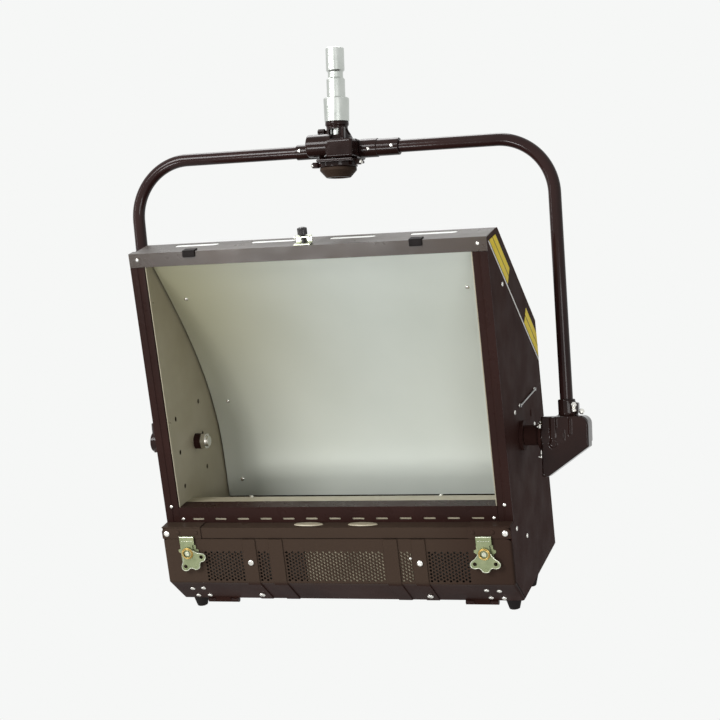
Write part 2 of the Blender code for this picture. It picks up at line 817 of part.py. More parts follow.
def make_lamp_house():
    trough_line = [
        (HOUSING_Y + 8.0, SHELF_Z - 12.0),
        (HOUSING_Y + 8.0, CREASE_Z - 1.0),
        (-76.0, TROUGH_FOOT_Z),
        (TROUGH_BACK_Y - 18.0, TROUGH_FOOT_Z),
        (TROUGH_BACK_Y, TROUGH_FOOT_Z + 20.0),
        (TROUGH_BACK_Y, REFLECTOR_END_Z - 4.0),
    ]
    trough = folded("lamp_trough", trough_line, END_PLATE_X - GAP, SATIN, thickness=1.0, side=1.0)
    shield_line = [(-68.0, WINDOW_FOOT - SHEET - GAP), (-40.0, -79.0), (-8.0, -92.0), (-4.0, -100.0)]
    shield = folded("lamp_shield", shield_line, END_PLATE_X - GAP, SATIN, thickness=1.0, side=1.0)
    pieces = [trough, shield]
    half = LAMP_LENGTH / 2.0
    for side, word in ((-1, "left"), (1, "right")):
        middle = side * 110.0
        profile = [
            (0, half),
            (4.0, half),
            (4.0, half - 12.0),
            (6.0, half - 16.0),
            (6.0, 16.0 - half),
            (4.0, 12.0 - half),
            (4.0, -half),
            (0, -half),
        ]
        pieces.append(turned("lamp_" + word, profile, QUARTZ, along_x(middle, LAMP_Y, LAMP_Z), sides=16))
    for word, middle in (("left", -222.0), ("centre", 0.0), ("right", 222.0)):
        reach = 14.0 if word == "centre" else 16.0
        holder = box(
            "lampholder_" + word,
            (middle - reach, LAMP_Y - 14, TROUGH_FOOT_Z + 1.5),
            (middle + reach, LAMP_Y + 14, LAMP_Z + 12),
            CERAMIC,
            bevel=2.0,
        )
        reach += 2.0
        bore = rod("holder_bore_" + word, (middle - reach, LAMP_Y, LAMP_Z), (middle + reach, LAMP_Y, LAMP_Z), 4.6, CERAMIC)
        pieces.append(cut(holder, bore))
    return pieces


TERMINAL_WALL = 1.5


def make_wiring():
    box_low = (-60.0, TROUGH_BACK_Y + 5.0, -205.0)
    box_high = (60.0, REAR_Y - SHEET - 1.0, -130.0)
    terminal = box("terminal_box", box_low, box_high, PLATED, bevel=1.5)
    hollow_low = [c + TERMINAL_WALL for c in box_low]
    hollow_high = [box_high[0] - TERMINAL_WALL, box_high[1] + 3.0, box_high[2] - TERMINAL_WALL]
    cut(terminal, box("terminal_room", hollow_low, hollow_high, PLATED))
    gland_profile = [
        (5.5, 24.0),
        (8.5, 24.0),
        (10.5, 20.0),
        (10.5, 9.0),
        (13.0, 9.0),
        (13.0, 0.0),
        (5.5, 0.0),
    ]
    place = Matrix.Translation(Vector((-190.0, REAR_Y + GAP, -190.0)) * MM) @ Matrix.Rotation(-math.pi / 2.0, 4, "X")
    gland = turned("cable_gland", gland_profile, PLASTIC, place, sides=24, ring=True)
    return [terminal, gland]


def make_tilt_shaft():
    shaft_profile = [(0, 92.0), (8.0, 92.0), (8.0, 20.3), (22.0, 20.3), (22.0, 15.3), (8.0, 15.3), (8.0, 5.0), (0, 5.0)]
    shaft = turned("tilt_shaft", shaft_profile, STEEL, along_x(255.0))
    tip = WORM_Y - 6.3 - GAP
    outline = gear_outline(TILT_WHEEL_TEETH, tip, tip - 1.6)
    bore = [circle(0, 0, SHAFT_BORE, 24)]
    wheel = plate("tilt_wheel", outline, "YZ", TILT_WHEEL_X - 6.0, TILT_WHEEL_X + 6.0, BRONZE, bore)
    bush_profile = [(SHAFT_BORE, 32.2), (12.0, 32.2), (12.0, 0.3), (SHAFT_BORE, 0.3)]
    bush = turned("pivot_bush_left", bush_profile, PAINT, along_x(-268.4), ring=True)
    return [shaft, wheel, bush]


FEET = {
    "front_left": (-249.0, -55.0),
    "front_right": (249.0, -55.0),
    "rear_left": (-255.0, 33.0),
    "rear_right": (255.0, 33.0),
}


def make_feet():
    feet = []
    for word, (x, y) in FEET.items():
        top = BASE_Z - GAP
        profile = [(0, top), (13.0, top), (12.5, top - 4.0), (8.0, -249.0), (0, -249.0)]
        place = Matrix.Translation((x * MM, y * MM, 0.0))
        feet.append(turned("foot_" + word, profile, RUBBER, place, sides=20))
    return feet


# Door: the lower cover, hinged at its foot

DOOR_LINE = [(HOUSING_Y, DOOR_TOP_Z - GAP), (HOUSING_Y, CREASE_Z), (DOOR_FOOT_Y, BASE_Z - 1.0)]
RIBS = [(78.0, 100.0), (121.0, 142.0)]
RIB_LIFT = 0.4
RIB_THICKNESS = 2.2
HINGE_X = 205.0


def make_door():
    door = folded("door", DOOR_LINE, HEAD_HALF, PAINT, side=-1.0)
    rib_line = [
        (HOUSING_Y - RIB_LIFT, DOOR_TOP_Z - 1.0),
        (HOUSING_Y - RIB_LIFT, CREASE_Z - 0.2),
        (DOOR_FOOT_Y - 1.7, BASE_Z + 0.1),
    ]
    for low, high in RIBS:
        for side, word in ((-1, "left"), (1, "right")):
            ends = sorted((side * low, side * high))
            rib = folded("rib_%s_%d" % (word, low), rib_line, ends[1], PAINT, RIB_THICKNESS, -1.0, ends[0])
            join(door, rib)
    y, z = DOOR_AXIS
    for side, word in ((-1, "left"), (1, "right")):
        low_x = side * HINGE_X - 12.0
        high_x = side * HINGE_X + 12.0
        ends = (low_x, y, z), (high_x, y, z)
        knuckle = rod("door_knuckle_" + word, *ends, 4.0, PAINT, 16)
        web = box("knuckle_web_" + word, (low_x, y - 4.0, z + 1.0), (high_x, y - 1.6, z + 6.5), PAINT)
        join(door, knuckle, web)
        bore = rod("knuckle_bore_" + word, (low_x - 2.0, y, z), (high_x + 2.0, y, z), 2.0, PAINT, 16)
        cut(door, bore)
    return door


def make_hinges():
    hinges = []
    y, z = DOOR_AXIS
    for side, word in ((-1, "left"), (1, "right")):
        middle = side * HINGE_X
        leaf = box("door_hinge_" + word, (middle - 25, y + 6.0, z + 4.2), (middle + 25, y + 34.0, z + 5.7), STEEL)
        for step in (-1, 1):
            low_x = middle + step * 18.8 - 6.2
            high_x = middle + step * 18.8 + 6.2
            tag = "%s_%d" % (word, step)
            knuckle = rod("hinge_knuckle_" + tag, (low_x, y, z), (high_x, y, z), 4.0, STEEL, 16)
            web = box("hinge_web_" + tag, (low_x, y + 1.0, z + 1.8), (high_x, y + 10.0, z + 5.7), STEEL)
            join(leaf, knuckle, web)
        pin = rod("hinge_pin_" + word, (middle - 24.0, y, z), (middle + 24.0, y, z), 1.6, STEEL, 12)
        hinges.append(join(leaf, pin))
    return hinges


# Latches: a fixed keeper, a base on the door, a draw hook and a turning wing

KEEPER_Y = HOUSING_Y - 2.0 * GAP - SHEET
HOOK_TRAVEL = 9.0


def wing_outline():
    """Butterfly wing: a hub, two round lobes and a small tab between them."""
    points = []
    right = [(7.5, 4.5), (10.5, -1.0), (15.5, -7.5), (20.5, -11.5), (23.0, -16.0), (21.5, -20.5), (16.5, -22.8)]
    right += [(11.0, -22.0), (7.0, -24.5), (4.5, -28.0)]
    points += right
    points += [(0.0, -29.0)]
    points += [(-x, z) for x, z in reversed(right)]
    points += [(-4.5, 7.9), (0.0, 9.0), (4.5, 7.9)]
    return points


def make_latch(word, side):
    x = side * LATCH_X
    z = LATCH_PIVOT_Z
    foot = DOOR_TOP_Z + 0.6
    keeper_outline = [(x - 11.5, foot), (x + 11.5, foot), (x + 11.5, -111.5), (x - 11.5, -111.5)]
    keeper = plate("latch_keeper_" + word, keeper_outline, "XZ", KEEPER_Y - 1.6, KEEPER_Y, ZINC)
    front = KEEPER_Y - 1.6 - GAP
    hook_outline = [
        (x - 8.0, -154.5),
        (x + 8.0, -154.5),
        (x + 8.0, -124.5),
        (x + 11.5, -123.0),
        (x + 11.5, -112.0),
        (x - 11.5, -112.0),
        (x - 11.5, -123.0),
        (x - 8.0, -124.5),
    ]
    slot_low = z - HOOK_TRAVEL - 4.2
    slot_high = z + 6.0
    hook_slot = [(x - 4.0, slot_low), (x + 4.0, slot_low), (x + 4.0, slot_high), (x - 4.0, slot_high)]
    hook = plate("latch_hook_" + word, hook_outline, "XZ", front - 1.6, front, ZINC, [hook_slot])
    wing_back = front - 1.6 - GAP
    wing_points = shifted(wing_outline(), x, z)
    holes = [circle(x + u, z + v, 3.2, 12) for u, v in ((-15.5, -15.6), (15.4, -15.5))]
    wing = plate("latch_wing_" + word, wing_points, "XZ", wing_back - 1.8, wing_back, ZINC, holes)
    shaft = rod("wing_shaft_" + word, (x, wing_back - 4.0, z), (x, front + 0.6, z), 3.4, ZINC, 16)
    join(wing, shaft)
    return keeper, hook, wing


def build():
    still = axis_empty("hanger_place", ORIGIN_DROP)
    carry(still, (0, 0, 0), *make_hanger())

    pan = axis_empty("pan_axis", ORIGIN_DROP)
    yoke = [make_pan_casing(), make_pan_base()]
    yoke.append(make_yoke_tube("left", -1, 24.8, 15.0))
    yoke.append(make_yoke_tube("right", 1, 37.6, 24.0))
    yoke += make_sleeves()
    yoke += [make_tilt_casing(), make_tilt_cover()]
    yoke += make_left_pivot()
    carry(pan, (0, 0, 0), *yoke)

    cup_axis = axis_empty("pan_cup_axis", Matrix.Identity(4), pan)
    carry(cup_axis, (0, 0, 0), *make_pan_drive())
    lay_at = (0.0, LAY_Y, 0.0)
    lay_axis = axis_empty("lay_gear_axis", Matrix.Translation(Vector(lay_at) * MM), pan)
    carry(lay_axis, lay_at, make_lay_gear())
    worm_at = (TILT_WHEEL_X, WORM_Y, 0.0)
    worm_axis = axis_empty("tilt_worm_axis", Matrix.Translation(Vector(worm_at) * MM), pan)
    carry(worm_axis, worm_at, *make_tilt_drive())

    tilt = axis_empty("tilt_axis", Matrix.Rotation(math.radians(REST_TILT), 4, "X"), pan)
    head = make_side_panels() + make_end_plates() + make_covers() + [make_reflector()]
    head += make_front_frame() + make_shelf() + make_lamp_house() + make_wiring()
    head += make_tilt_shaft() + make_feet() + make_hinges()
    bracket, knob = make_catch()
    head.append(bracket)
    carry(tilt, (0, 0, 0), *head)
    catch_at = (0.0, CATCH_Y, TOP_Z)
    catch_axis = axis_empty("catch_axis", Matrix.Translation(Vector(catch_at) * MM), tilt)
    carry(catch_axis, catch_at, knob)

    door_at = (0.0, *DOOR_AXIS)
    door_axis = axis_empty("door_axis", Matrix.Translation(Vector(door_at) * MM), tilt)
    carry(door_axis, door_at, make_door())
    for side, word in ((-1, "left"), (1, "right")):
        keeper, hook, wing = make_latch(word, side)
        carry(tilt, (0, 0, 0), keeper)
        carry(door_axis, door_at, hook)
        wing_at = (side * LATCH_X, HOUSING_Y, LATCH_PIVOT_Z)
        turn = LEFT_WING_TURN if word == "left" else 0.0
        place = Matrix.Translation((Vector(wing_at) - Vector(door_at)) * MM)
        place = place @ Matrix.Rotation(math.radians(turn), 4, (0.0, -1.0, 0.0))
        wing_axis = axis_empty("latch_axis_" + word, place, door_axis)
        carry(wing_axis, wing_at, wing)


build()
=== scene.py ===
"""Looks of a studio soft light that hangs in a bent tube yoke.

Everything is in metres, in the frame of the CAD. Sizes are written in millimetres and
turned by MM. Points on the head are given as it stands level, measured from the tilt
axis, and HEAD puts them in place with the head leaning down. Points on the yoke are
measured from the tilt axis too, and YOKE puts them in place.
"""
import math

import bmesh
import bpy
from mathutils import Matrix, Vector


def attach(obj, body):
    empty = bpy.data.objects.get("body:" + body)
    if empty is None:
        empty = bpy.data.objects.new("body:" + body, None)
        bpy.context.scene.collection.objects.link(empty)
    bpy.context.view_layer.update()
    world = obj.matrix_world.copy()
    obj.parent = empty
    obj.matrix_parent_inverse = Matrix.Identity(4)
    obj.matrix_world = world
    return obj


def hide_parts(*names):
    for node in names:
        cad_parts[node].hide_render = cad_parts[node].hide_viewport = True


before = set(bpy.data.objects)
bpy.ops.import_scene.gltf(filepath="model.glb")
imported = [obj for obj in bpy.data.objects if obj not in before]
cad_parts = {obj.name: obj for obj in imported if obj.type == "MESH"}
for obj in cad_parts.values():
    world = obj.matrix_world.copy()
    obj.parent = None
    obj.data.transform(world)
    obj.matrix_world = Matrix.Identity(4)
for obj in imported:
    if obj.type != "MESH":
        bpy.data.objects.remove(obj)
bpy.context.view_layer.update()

MM = 0.001
# From the top of the spigot down to the tilt axis, and the lean of the head in degrees
DROP = 590
LEAN = 15.2


def at(x, y, z, degrees=0, axis="X"):
    """A place, with a turn about one axis there."""
    return Matrix.Translation((x, y, z)) @ Matrix.Rotation(math.radians(degrees), 4, axis)


YOKE = at(0, 0, -DROP * MM) @ Matrix.Scale(MM, 4)
HEAD = at(0, 0, -DROP * MM, LEAN) @ Matrix.Scale(MM, 4)
HEAD_HALF = 270
SHEET = 1.5
# Depths of the front faces of door and rail, and of the catch
DOOR_FACE = -119.5
RAIL_FACE = -119.8
CATCH_DEPTH = -86
# How far out the screws along the head's edges stand
SCREW_ROW = 262
# Left face of the tilt casing
CASE_LEFT = 303.3
# Edges that turn more than this stay crisp
CRISP = 35
ROOM_WHITE = "#f6f7f6"
# The point the lamps face, in metres, and each lamp's place, width and height in metres, and watts
MIDDLE = Vector((0, 0, -0.6))
LAMPS = (
    ("key", (-1.4, -2.6, 1), (1.2, 1.2), 86),
    ("strip", (-2.6, -1.4, -0.2), (0.14, 1.8), 10),
    ("fill", (1.6, -2.8, -0.7), (1, 1), 22),
    ("bar", (-0.8, -2.2, -1.15), (0.5, 0.4), 13),
    ("low", (-0.15, -1.95, -1.95), (1.6, 1.1), 1.4),
    ("top", (-0.5, 0.9, 1.3), (1.2, 1), 26),
)


# Small tools

def turns(sides):
    """The angles of evenly spaced corners round a circle."""
    return [2 * math.pi * k / sides for k in range(sides)]


def quarter(steps):
    """Angles from none to a quarter turn."""
    return [math.pi / 2 * k / steps for k in range(steps + 1)]


def linked(name, data):
    """A new object that stands in the scene."""
    thing = bpy.data.objects.new(name, data)
    bpy.context.scene.collection.objects.link(thing)
    return thing


def modify(thing, kind, **fields):
    """Gives an object a modifier and sets its fields."""
    modifier = thing.modifiers.new(kind.lower(), kind)
    for key, value in fields.items():
        setattr(modifier, key, value)
    return modifier


def mesh_of(shape, name="lump"):
    """A drawn shape as mesh data."""
    mesh = bpy.data.meshes.new(name)
    shape.to_mesh(mesh)
    shape.free()
    return mesh


def rgb(code):
    """An sRGB hex colour as linear light, with alpha."""
    channels = [int(code[i:i + 2], 16) / 255 for i in (1, 3, 5)]
    linear = [c / 12.92 if c <= 0.04045 else ((c + 0.055) / 1.055) ** 2.4 for c in channels]
    return (*linear, 1)


def cleared(thing):
    """The node tree of a material or world, emptied."""
    thing.use_nodes = True
    thing.node_tree.nodes.clear()
    return thing.node_tree


def add(tree, kind, inputs=None, **fields):
    """Adds a node, sets its fields and feeds its inputs.

    An input takes a value, an output, a node for its first output, or a list of nodes.
    """
    node = tree.nodes.new(kind)
    for key, value in fields.items():
        setattr(node, key, value)
    for key, given in (inputs or {}).items():
        for source in given if isinstance(given, list) else [given]:
            if isinstance(source, bpy.types.Node):
                source = source.outputs[0]
            if isinstance(source, bpy.types.NodeSocket):
                tree.links.new(source, node.inputs[key])
            else:
                node.inputs[key].default_value = source
    return node


# Camera, light and floor

def stand_camera():
    """The photographer's view: long lens, a little right of front, level with the head."""
    lens = bpy.data.cameras.new("camera")
    lens.lens = 94.5
    lens.sensor_width = 36
    eye = linked("camera", lens)
    aim = at(0, 0, 0, 89.851, "X") @ at(0, 0, 0, -1.801, "Z")
    eye.matrix_world = at(0.9048, -2.7076, 0.1252 - DROP * MM, 18.007, "Z") @ aim
    bpy.context.scene.camera = eye


def looked_at(tree):
    """1 for rays of the camera and for what shows in metal and glass, else 0."""
    path = add(tree, "ShaderNodeLightPath")
    shown = path.outputs["Is Camera Ray"]
    for kind in ("Is Glossy Ray", "Is Transmission Ray"):
        shown = add(tree, "ShaderNodeMath", {0: shown, 1: path.outputs[kind]}, operation="MAXIMUM")
    return shown


def make_floor():
    """A wide pale floor that keeps the shadow near its middle and fades into the room."""
    surface = bpy.data.materials.new("pale_floor")
    tree = cleared(surface)
    paper = add(tree, "ShaderNodeBsdfDiffuse", {"Color": rgb("#e9ebe9")})
    white = add(tree, "ShaderNodeEmission", {"Color": rgb(ROOM_WHITE), "Strength": 1})
    place = add(tree, "ShaderNodeTexCoord").outputs["Object"]
    reach = add(tree, "ShaderNodeVectorMath", {0: place}, operation="LENGTH").outputs["Value"]
    shadow = add(tree, "ShaderNodeMapRange", {
        "Value": reach, "From Min": 1, "From Max": 6, "To Min": 0.25, "To Max": 0})
    shade = add(tree, "ShaderNodeMixShader", {"Fac": shadow, 1: white, 2: paper})
    seen = add(tree, "ShaderNodeMixShader", {"Fac": looked_at(tree), 1: paper, 2: shade})
    add(tree, "ShaderNodeOutputMaterial", {"Surface": seen})
    disc = bmesh.new()
    bmesh.ops.create_circle(disc, cap_ends=True, segments=96, radius=7)
    floor = linked("floor", mesh_of(disc, "floor"))
    floor.data.materials.append(surface)
    floor.location = (0, 0, -2.4)


def light_room():
    """A room that looks white but lights softly, and the lamps in it."""
    world = bpy.data.worlds.new("room")
    tree = cleared(world)
    room = add(tree, "ShaderNodeBackground", {"Color": rgb("#f4f5f4"), "Strength": 0.35})
    white = add(tree, "ShaderNodeBackground", {"Color": rgb(ROOM_WHITE), "Strength": 1})
    seen = add(tree, "ShaderNodeMixShader", {"Fac": looked_at(tree), 1: room, 2: white})
    add(tree, "ShaderNodeOutputWorld", {"Surface": seen})
    bpy.context.scene.world = world
    bpy.context.scene.view_settings.view_transform = "Standard"
    for name, place, size, power in LAMPS:
        lamp = bpy.data.lights.new(name + "_softbox", "AREA")
        lamp.shape = "RECTANGLE"
        lamp.size, lamp.size_y = size
        lamp.energy = power
        holder = linked(name + "_softbox", lamp)
        holder.location = place
        holder.rotation_euler = (MIDDLE - Vector(place)).to_track_quat("-Z", "Y").to_euler()


# Finishes

def finish(name, tones, tone_mm, rough, rough_mm, bump_mm, bump_depth, metallic=0, specular=0.5,
           places=(0.3, 0.7), extra=None):
    """One finish: colour that drifts between tones, wandering roughness and a fine bump.

    Each of the three has the size of its pattern in millimetres, and the bump its depth.
    Places say where in the drift each tone stands, and extra holds further shader inputs.
    """
    surface = bpy.data.materials.new(name)
    tree = cleared(surface)
    spot = add(tree, "ShaderNodeTexCoord").outputs["Object"]
    drift, wander, grain = [
        add(tree, "ShaderNodeTexNoise", {"Scale": 1 / (size * MM), "Detail": detail, "Vector": spot})
        for size, detail in ((tone_mm, 3), (rough_mm, 4), (bump_mm, 2))]
    colour = add(tree, "ShaderNodeValToRGB", {"Fac": drift})
    steps = colour.color_ramp.elements
    while len(steps) < len(tones):
        steps.new(0.5)
    for step, place, code in zip(steps, places, tones):
        step.position = place
        step.color = rgb(code)
    roughness = add(tree, "ShaderNodeMapRange", {
        "Value": wander, "From Min": 0.3, "From Max": 0.7, "To Min": rough[0], "To Max": rough[1]})
    normal = add(tree, "ShaderNodeBump", {"Strength": 1, "Distance": bump_depth * MM, "Height": grain})
    shader = add(tree, "ShaderNodeBsdfPrincipled", {
        "Base Color": colour, "Roughness": roughness, "Normal": normal, "Metallic": metallic,
        "Specular IOR Level": specular, **(extra or {})})
    add(tree, "ShaderNodeOutputMaterial", {"Surface": shader})
    surface.diffuse_color = rgb(tones[0])
    return surface


def painted_light_by_place(surface, code, across, up):
    """Mixes in a colour by place, to paint light and shade: across and up give two places in metres and the
    amounts there.
    """
    tree = surface.node_tree
    place = add(tree, "ShaderNodeTexCoord").outputs["Object"]
    parts = add(tree, "ShaderNodeSeparateXYZ", {0: place})
    ramps = [add(tree, "ShaderNodeMapRange", {
        "Value": parts.outputs[axis], "From Min": start, "From Max": end,
        "To Min": first, "To Max": last}, interpolation_type="SMOOTHSTEP")
        for axis, (start, end, first, last) in (("X", across), ("Z", up))]
    amount = add(tree, "ShaderNodeMath", {0: ramps[0], 1: ramps[1]}, operation="MULTIPLY")
    shader = next(node for node in tree.nodes if node.type == "BSDF_PRINCIPLED")
    unpainted = shader.inputs["Base Color"].links[0].from_socket
    mixed = add(tree, "ShaderNodeMix", {"Factor": amount, "A": unpainted, "B": rgb(code)}, data_type="RGBA")
    tree.links.new(mixed.outputs["Result"], shader.inputs["Base Color"])


# Where the two tones of most enamels stand in their drift
NARROW = (0.35, 0.65)
# Baked enamel on the window frame and top: satin, with a faint orange peel and a warm brown cast
ENAMEL = finish("satin_black_enamel", ("#2c2118", "#35281d"), 140, (0.26, 0.36), 30, 1.6, 0.02,
                specular=0.4, places=NARROW)
# The same enamel on the channels, rubbed matt by the frames that slide in them
CHANNEL_ENAMEL = finish("rubbed_black_enamel", ("#261714", "#2d1b18"), 110, (0.24, 0.36), 24, 1.6, 0.02,
                        specular=0.06, places=NARROW)
# The same enamel on the outer panels and tilt shaft, dulled by heat and hands until it hardly shines
DULL_ENAMEL = finish("heat_dulled_black_enamel", ("#301e1b", "#372420"), 160, (0.52, 0.66), 45, 1.8, 0.025,
                     specular=0.02)
# The same enamel on door, rail and cups, given its lighter brown by the mix below
FRONT_ENAMEL = finish("browned_black_enamel", ("#261613", "#321f1b"), 120, (0.26, 0.38), 40, 1.6, 0.02,
                      specular=0.015)
# Painted light and shade: a lighter brown is mixed in, less at the door's right end and none on its folded
# foot, so these read shaded
painted_light_by_place(FRONT_ENAMEL, "#3f342c", (0.12, 0.27, 0.85, 0.45), (-0.806, -0.798, 0, 1))
# Enamel over sand castings: slow waves in the skin, highlights that break up
CAST_ENAMEL = finish("black_enamel_on_casting", ("#201412", "#291a17"), 60, (0.10, 0.17), 12, 3, 0.025,
                     specular=0.15, places=NARROW)
# The drawn yoke tubes take the enamel best: long clean highlights
TUBE_ENAMEL = finish("gloss_black_enamel", ("#251615", "#2d1c1a"), 90, (0.08, 0.13), 30, 3, 0.008,
                     specular=0.17, places=NARROW)
# End plates and lamp shield: white enamelled sheet, given a darker, warmer grey as painted shade
END_SHEET = finish("heat_yellowed_end_sheet", ("#98907a", "#a49c88"), 90, (0.36, 0.48), 40, 0.9, 0.004, 0.15)
# Sheet close behind the middle of the door, pale grey-brown as painted light for the lit inside seen through
# the holes
BAFFLE = finish("scorched_baffle_sheet", ("#635a49", "#8c836e"), 30, (0.42, 0.55), 20, 1, 0.006, 0.15)
# Rolled reflector sheet with a satin white face, slightly grey-green
REFLECTOR = finish("satin_white_reflector_sheet", ("#cdd3cb", "#d6dbd4"), 220, (0.34, 0.42), 60, 0.9, 0.004,
                   0.15)
# Painted shade: it turns darker and yellower toward its upper left
painted_light_by_place(REFLECTOR, "#a9a68b", (-0.24, 0.08, 1, 0), (-0.66, -0.34, 0.25, 1))
# Mill-finish aluminium round the lamps, darkened as painted shade so that the door's holes read dark
SHADED_ALUMINIUM = finish("heat_tinted_aluminium", ("#2e2a26", "#45403a"), 70, (0.50, 0.65), 20, 1.2, 0.01, 0.4)
# Nickel on pressed steel screw heads: bright, a little pitted
NICKEL = finish("nickel_plated_steel", ("#d8d6d0", "#e6e4de"), 6, (0.14, 0.26), 2, 0.7, 0.004, 1)
# Yellow chromate over zinc: pale green-gold with a straw bloom
CHROMATE = finish("yellow_chromated_zinc", ("#777f5d", "#868e6c", "#948b67"), 14, (0.34, 0.48), 4, 1.1, 0.006,
                  0.6, places=(0.3, 0.6, 0.85))
# The same zinc, lighter and more metallic on folds, rims and the catch bracket: a painted highlight
BRIGHT_ZINC = finish("rubbed_bright_zinc", ("#b3b7a2", "#c9ccba"), 12, (0.24, 0.36), 4, 1.1, 0.004, 0.9)
# Satin chrome on the turned spigot
SPIGOT_METAL = finish("satin_chromed_steel", ("#b9bdb8", "#c9ccc8"), 40, (0.28, 0.37), 8, 0.8, 0.003, 1)
# Drawn brass wire of the latch springs, browned
BRASS = finish("tarnished_spring_brass", ("#a98f52", "#c4ab6c"), 5, (0.24, 0.38), 3, 0.6, 0.004, 1)
# Machined steel of the gears, with a film of oil
STEEL = finish("machined_steel", ("#8b8b8a", "#a3a3a2"), 15, (0.30, 0.42), 5, 0.5, 0.004, 1)
# Cut bronze of the worm wheel
BRONZE = finish("cut_gear_bronze", ("#a9803f", "#bd9552"), 12, (0.30, 0.42), 5, 0.5, 0.004, 1)
# Moulded rubber feet, chalky where they scuff
RUBBER = finish("moulded_rubber", ("#1a1716", "#242020"), 12, (0.62, 0.80), 6, 0.6, 0.03, specular=0.1)
# Moulded phenolic of the catch knob and the cable gland, still glossy
PHENOLIC = finish("black_phenolic", ("#191717", "#231f1f"), 20, (0.24, 0.36), 6, 1.2, 0.01)
# Steatite lampholders, unglazed
CERAMIC = finish("unglazed_steatite", ("#ddd5c5", "#e8e2d5"), 10, (0.50, 0.62), 5, 0.5, 0.02)
# White paint of the light trap under the vents, a little dusty
TRAP_WHITE = finish("white_light_trap_paint", ("#e9ebe6", "#f4f5f1"), 25, (0.45, 0.60), 10, 0.8, 0.01)
# Printed vinyl tape, with a thin clear gloss
STRIPE_YELLOW, STRIPE_OCHRE, STRIPE_WHITE = [
    finish(word + "_vinyl_tape", tones, 30, rough, 12, 1.5, 0.006, specular=specular)
    for word, tones, rough, specular in (
        ("yellow", ("#f3d30f", "#fbe026"), (0.40, 0.50), 0.1),
        ("ochre", ("#8f7c1d", "#a08b26"), (0.40, 0.50), 0.1),
        ("white", ("#e4e3dc", "#eeede8"), (0.34, 0.44), 0.5))]
# Clear fused quartz tube: smooth, with a faint bloom and no bump
QUARTZ = finish("fused_quartz", ("#eef1f2", "#eef1f2"), 20, (0.03, 0.10), 20, 20, 0,
                extra={"IOR": 1.46, "Transmission Weight": 0.9})
# What each CAD node is made of. A name that ends in an underscore stands for left and right
COATS = (
    (ENAMEL, "top_panel top_bar"),
    (CHANNEL_ENAMEL, "frame_channel_ slotted_sill pivot_bush_left door_hinge_"),
    (DULL_ENAMEL, "side_panel_ back_panel base_panel tilt_shaft tilt_cover"),
    (FRONT_ENAMEL, "lamp_housing_rail rail_bracket_ door pan_cup tilt_cup"),
    (CAST_ENAMEL, "pan_casing pan_base_plate tube_sleeve_ tilt_casing pivot_block_left"),
    (TUBE_ENAMEL, "yoke_tube_"),
    (REFLECTOR, "reflector"),
    (END_SHEET, "end_plate_ lamp_shield"),
    (SHADED_ALUMINIUM, "lamp_trough"),
    (NICKEL, "pivot_bolt_left pivot_nut_left terminal_box"),
    (BRIGHT_ZINC, "catch_bracket"),
    (CHROMATE, "latch_keeper_ latch_hook_ latch_wing_"),
    (SPIGOT_METAL, "spigot"),
    (STEEL, "pan_gear lay_gear pan_pinion tilt_worm"),
    (BRONZE, "tilt_wheel"),
    (RUBBER, "foot_front_ foot_rear_"),
    (PHENOLIC, "catch_knob cable_gland"),
    (CERAMIC, "lampholder_ lampholder_centre"),
    (QUARTZ, "lamp_"),
)
GEARS = ("pan_gear", "lay_gear", "pan_pinion", "tilt_worm", "tilt_wheel")


def sockets(tree, names):
    """Number inputs of a tree, with the geometry sockets at both ends."""
    tree.interface.new_socket("Geometry", in_out="INPUT", socket_type="NodeSocketGeometry")
    for name, value in names.items():
        kind = "NodeSocketInt" if isinstance(value, int) else "NodeSocketFloat"
        tree.interface.new_socket(name, in_out="INPUT", socket_type=kind).default_value = value
    tree.interface.new_socket("Geometry", in_out="OUTPUT", socket_type="NodeSocketGeometry")
    return add(tree, "NodeGroupInput")


def smooth_group():
    """Marks every face smooth, leaving the edges that turn sharply crisp."""
    tree = bpy.data.node_groups.new("smooth_shading", "GeometryNodeTree")
    given = sockets(tree, {})
    turn = add(tree, "GeometryNodeInputMeshEdgeAngle").outputs["Unsigned Angle"]
    crisp = add(tree, "FunctionNodeCompare", {
        0: turn, 1: math.radians(CRISP)}, data_type="FLOAT", operation="GREATER_THAN")
    faces = add(tree, "GeometryNodeSetShadeSmooth", {"Geometry": given}, domain="FACE")
    edges = add(tree, "GeometryNodeSetShadeSmooth", {
        "Geometry": faces, "Selection": crisp, "Shade Smooth": False}, domain="EDGE")
    add(tree, "NodeGroupOutput", {0: edges})
    return tree


SMOOTH = smooth_group()


def soften(piece):
    """Breaks the sharp edges of a CAD piece as paint and tumbling do."""
    modify(piece, "WELD", merge_threshold=0.002 * MM)
    modify(piece, "DECIMATE", decimate_type="DISSOLVE", angle_limit=math.radians(0.4))
    modify(piece, "BEVEL", width=0.4 * MM, segments=2, limit_method="ANGLE", angle_limit=math.radians(40))
    modify(piece, "NODES", node_group=SMOOTH)
    even_shading(piece)


def even_shading(piece):
    """Keeps flats flat beside rounded edges, by letting the large faces set the normals."""
    modify(piece, "WEIGHTED_NORMAL", keep_sharp=True)


def dress_cad():
    """Gives each CAD node its coat, and breaks the edges of all but the gears."""
    for surface, names in COATS:
        for name in names.split():
            for node in (name + "left", name + "right") if name.endswith("_") else (name,):
                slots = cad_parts[node].data.materials
                slots.clear()
                slots.append(surface)
    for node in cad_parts:
        if node not in GEARS:
            soften(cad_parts[node])


# Shapes

def evaluated(maker):
    """The shape of an object with its modifiers, after which the object is removed."""
    view = bpy.context.evaluated_depsgraph_get()
    mesh = bpy.data.meshes.new_from_object(maker.evaluated_get(view))
    bpy.data.objects.remove(maker)
    shape = bmesh.new()
    shape.from_mesh(mesh)
    bpy.data.meshes.remove(mesh)
    return shape


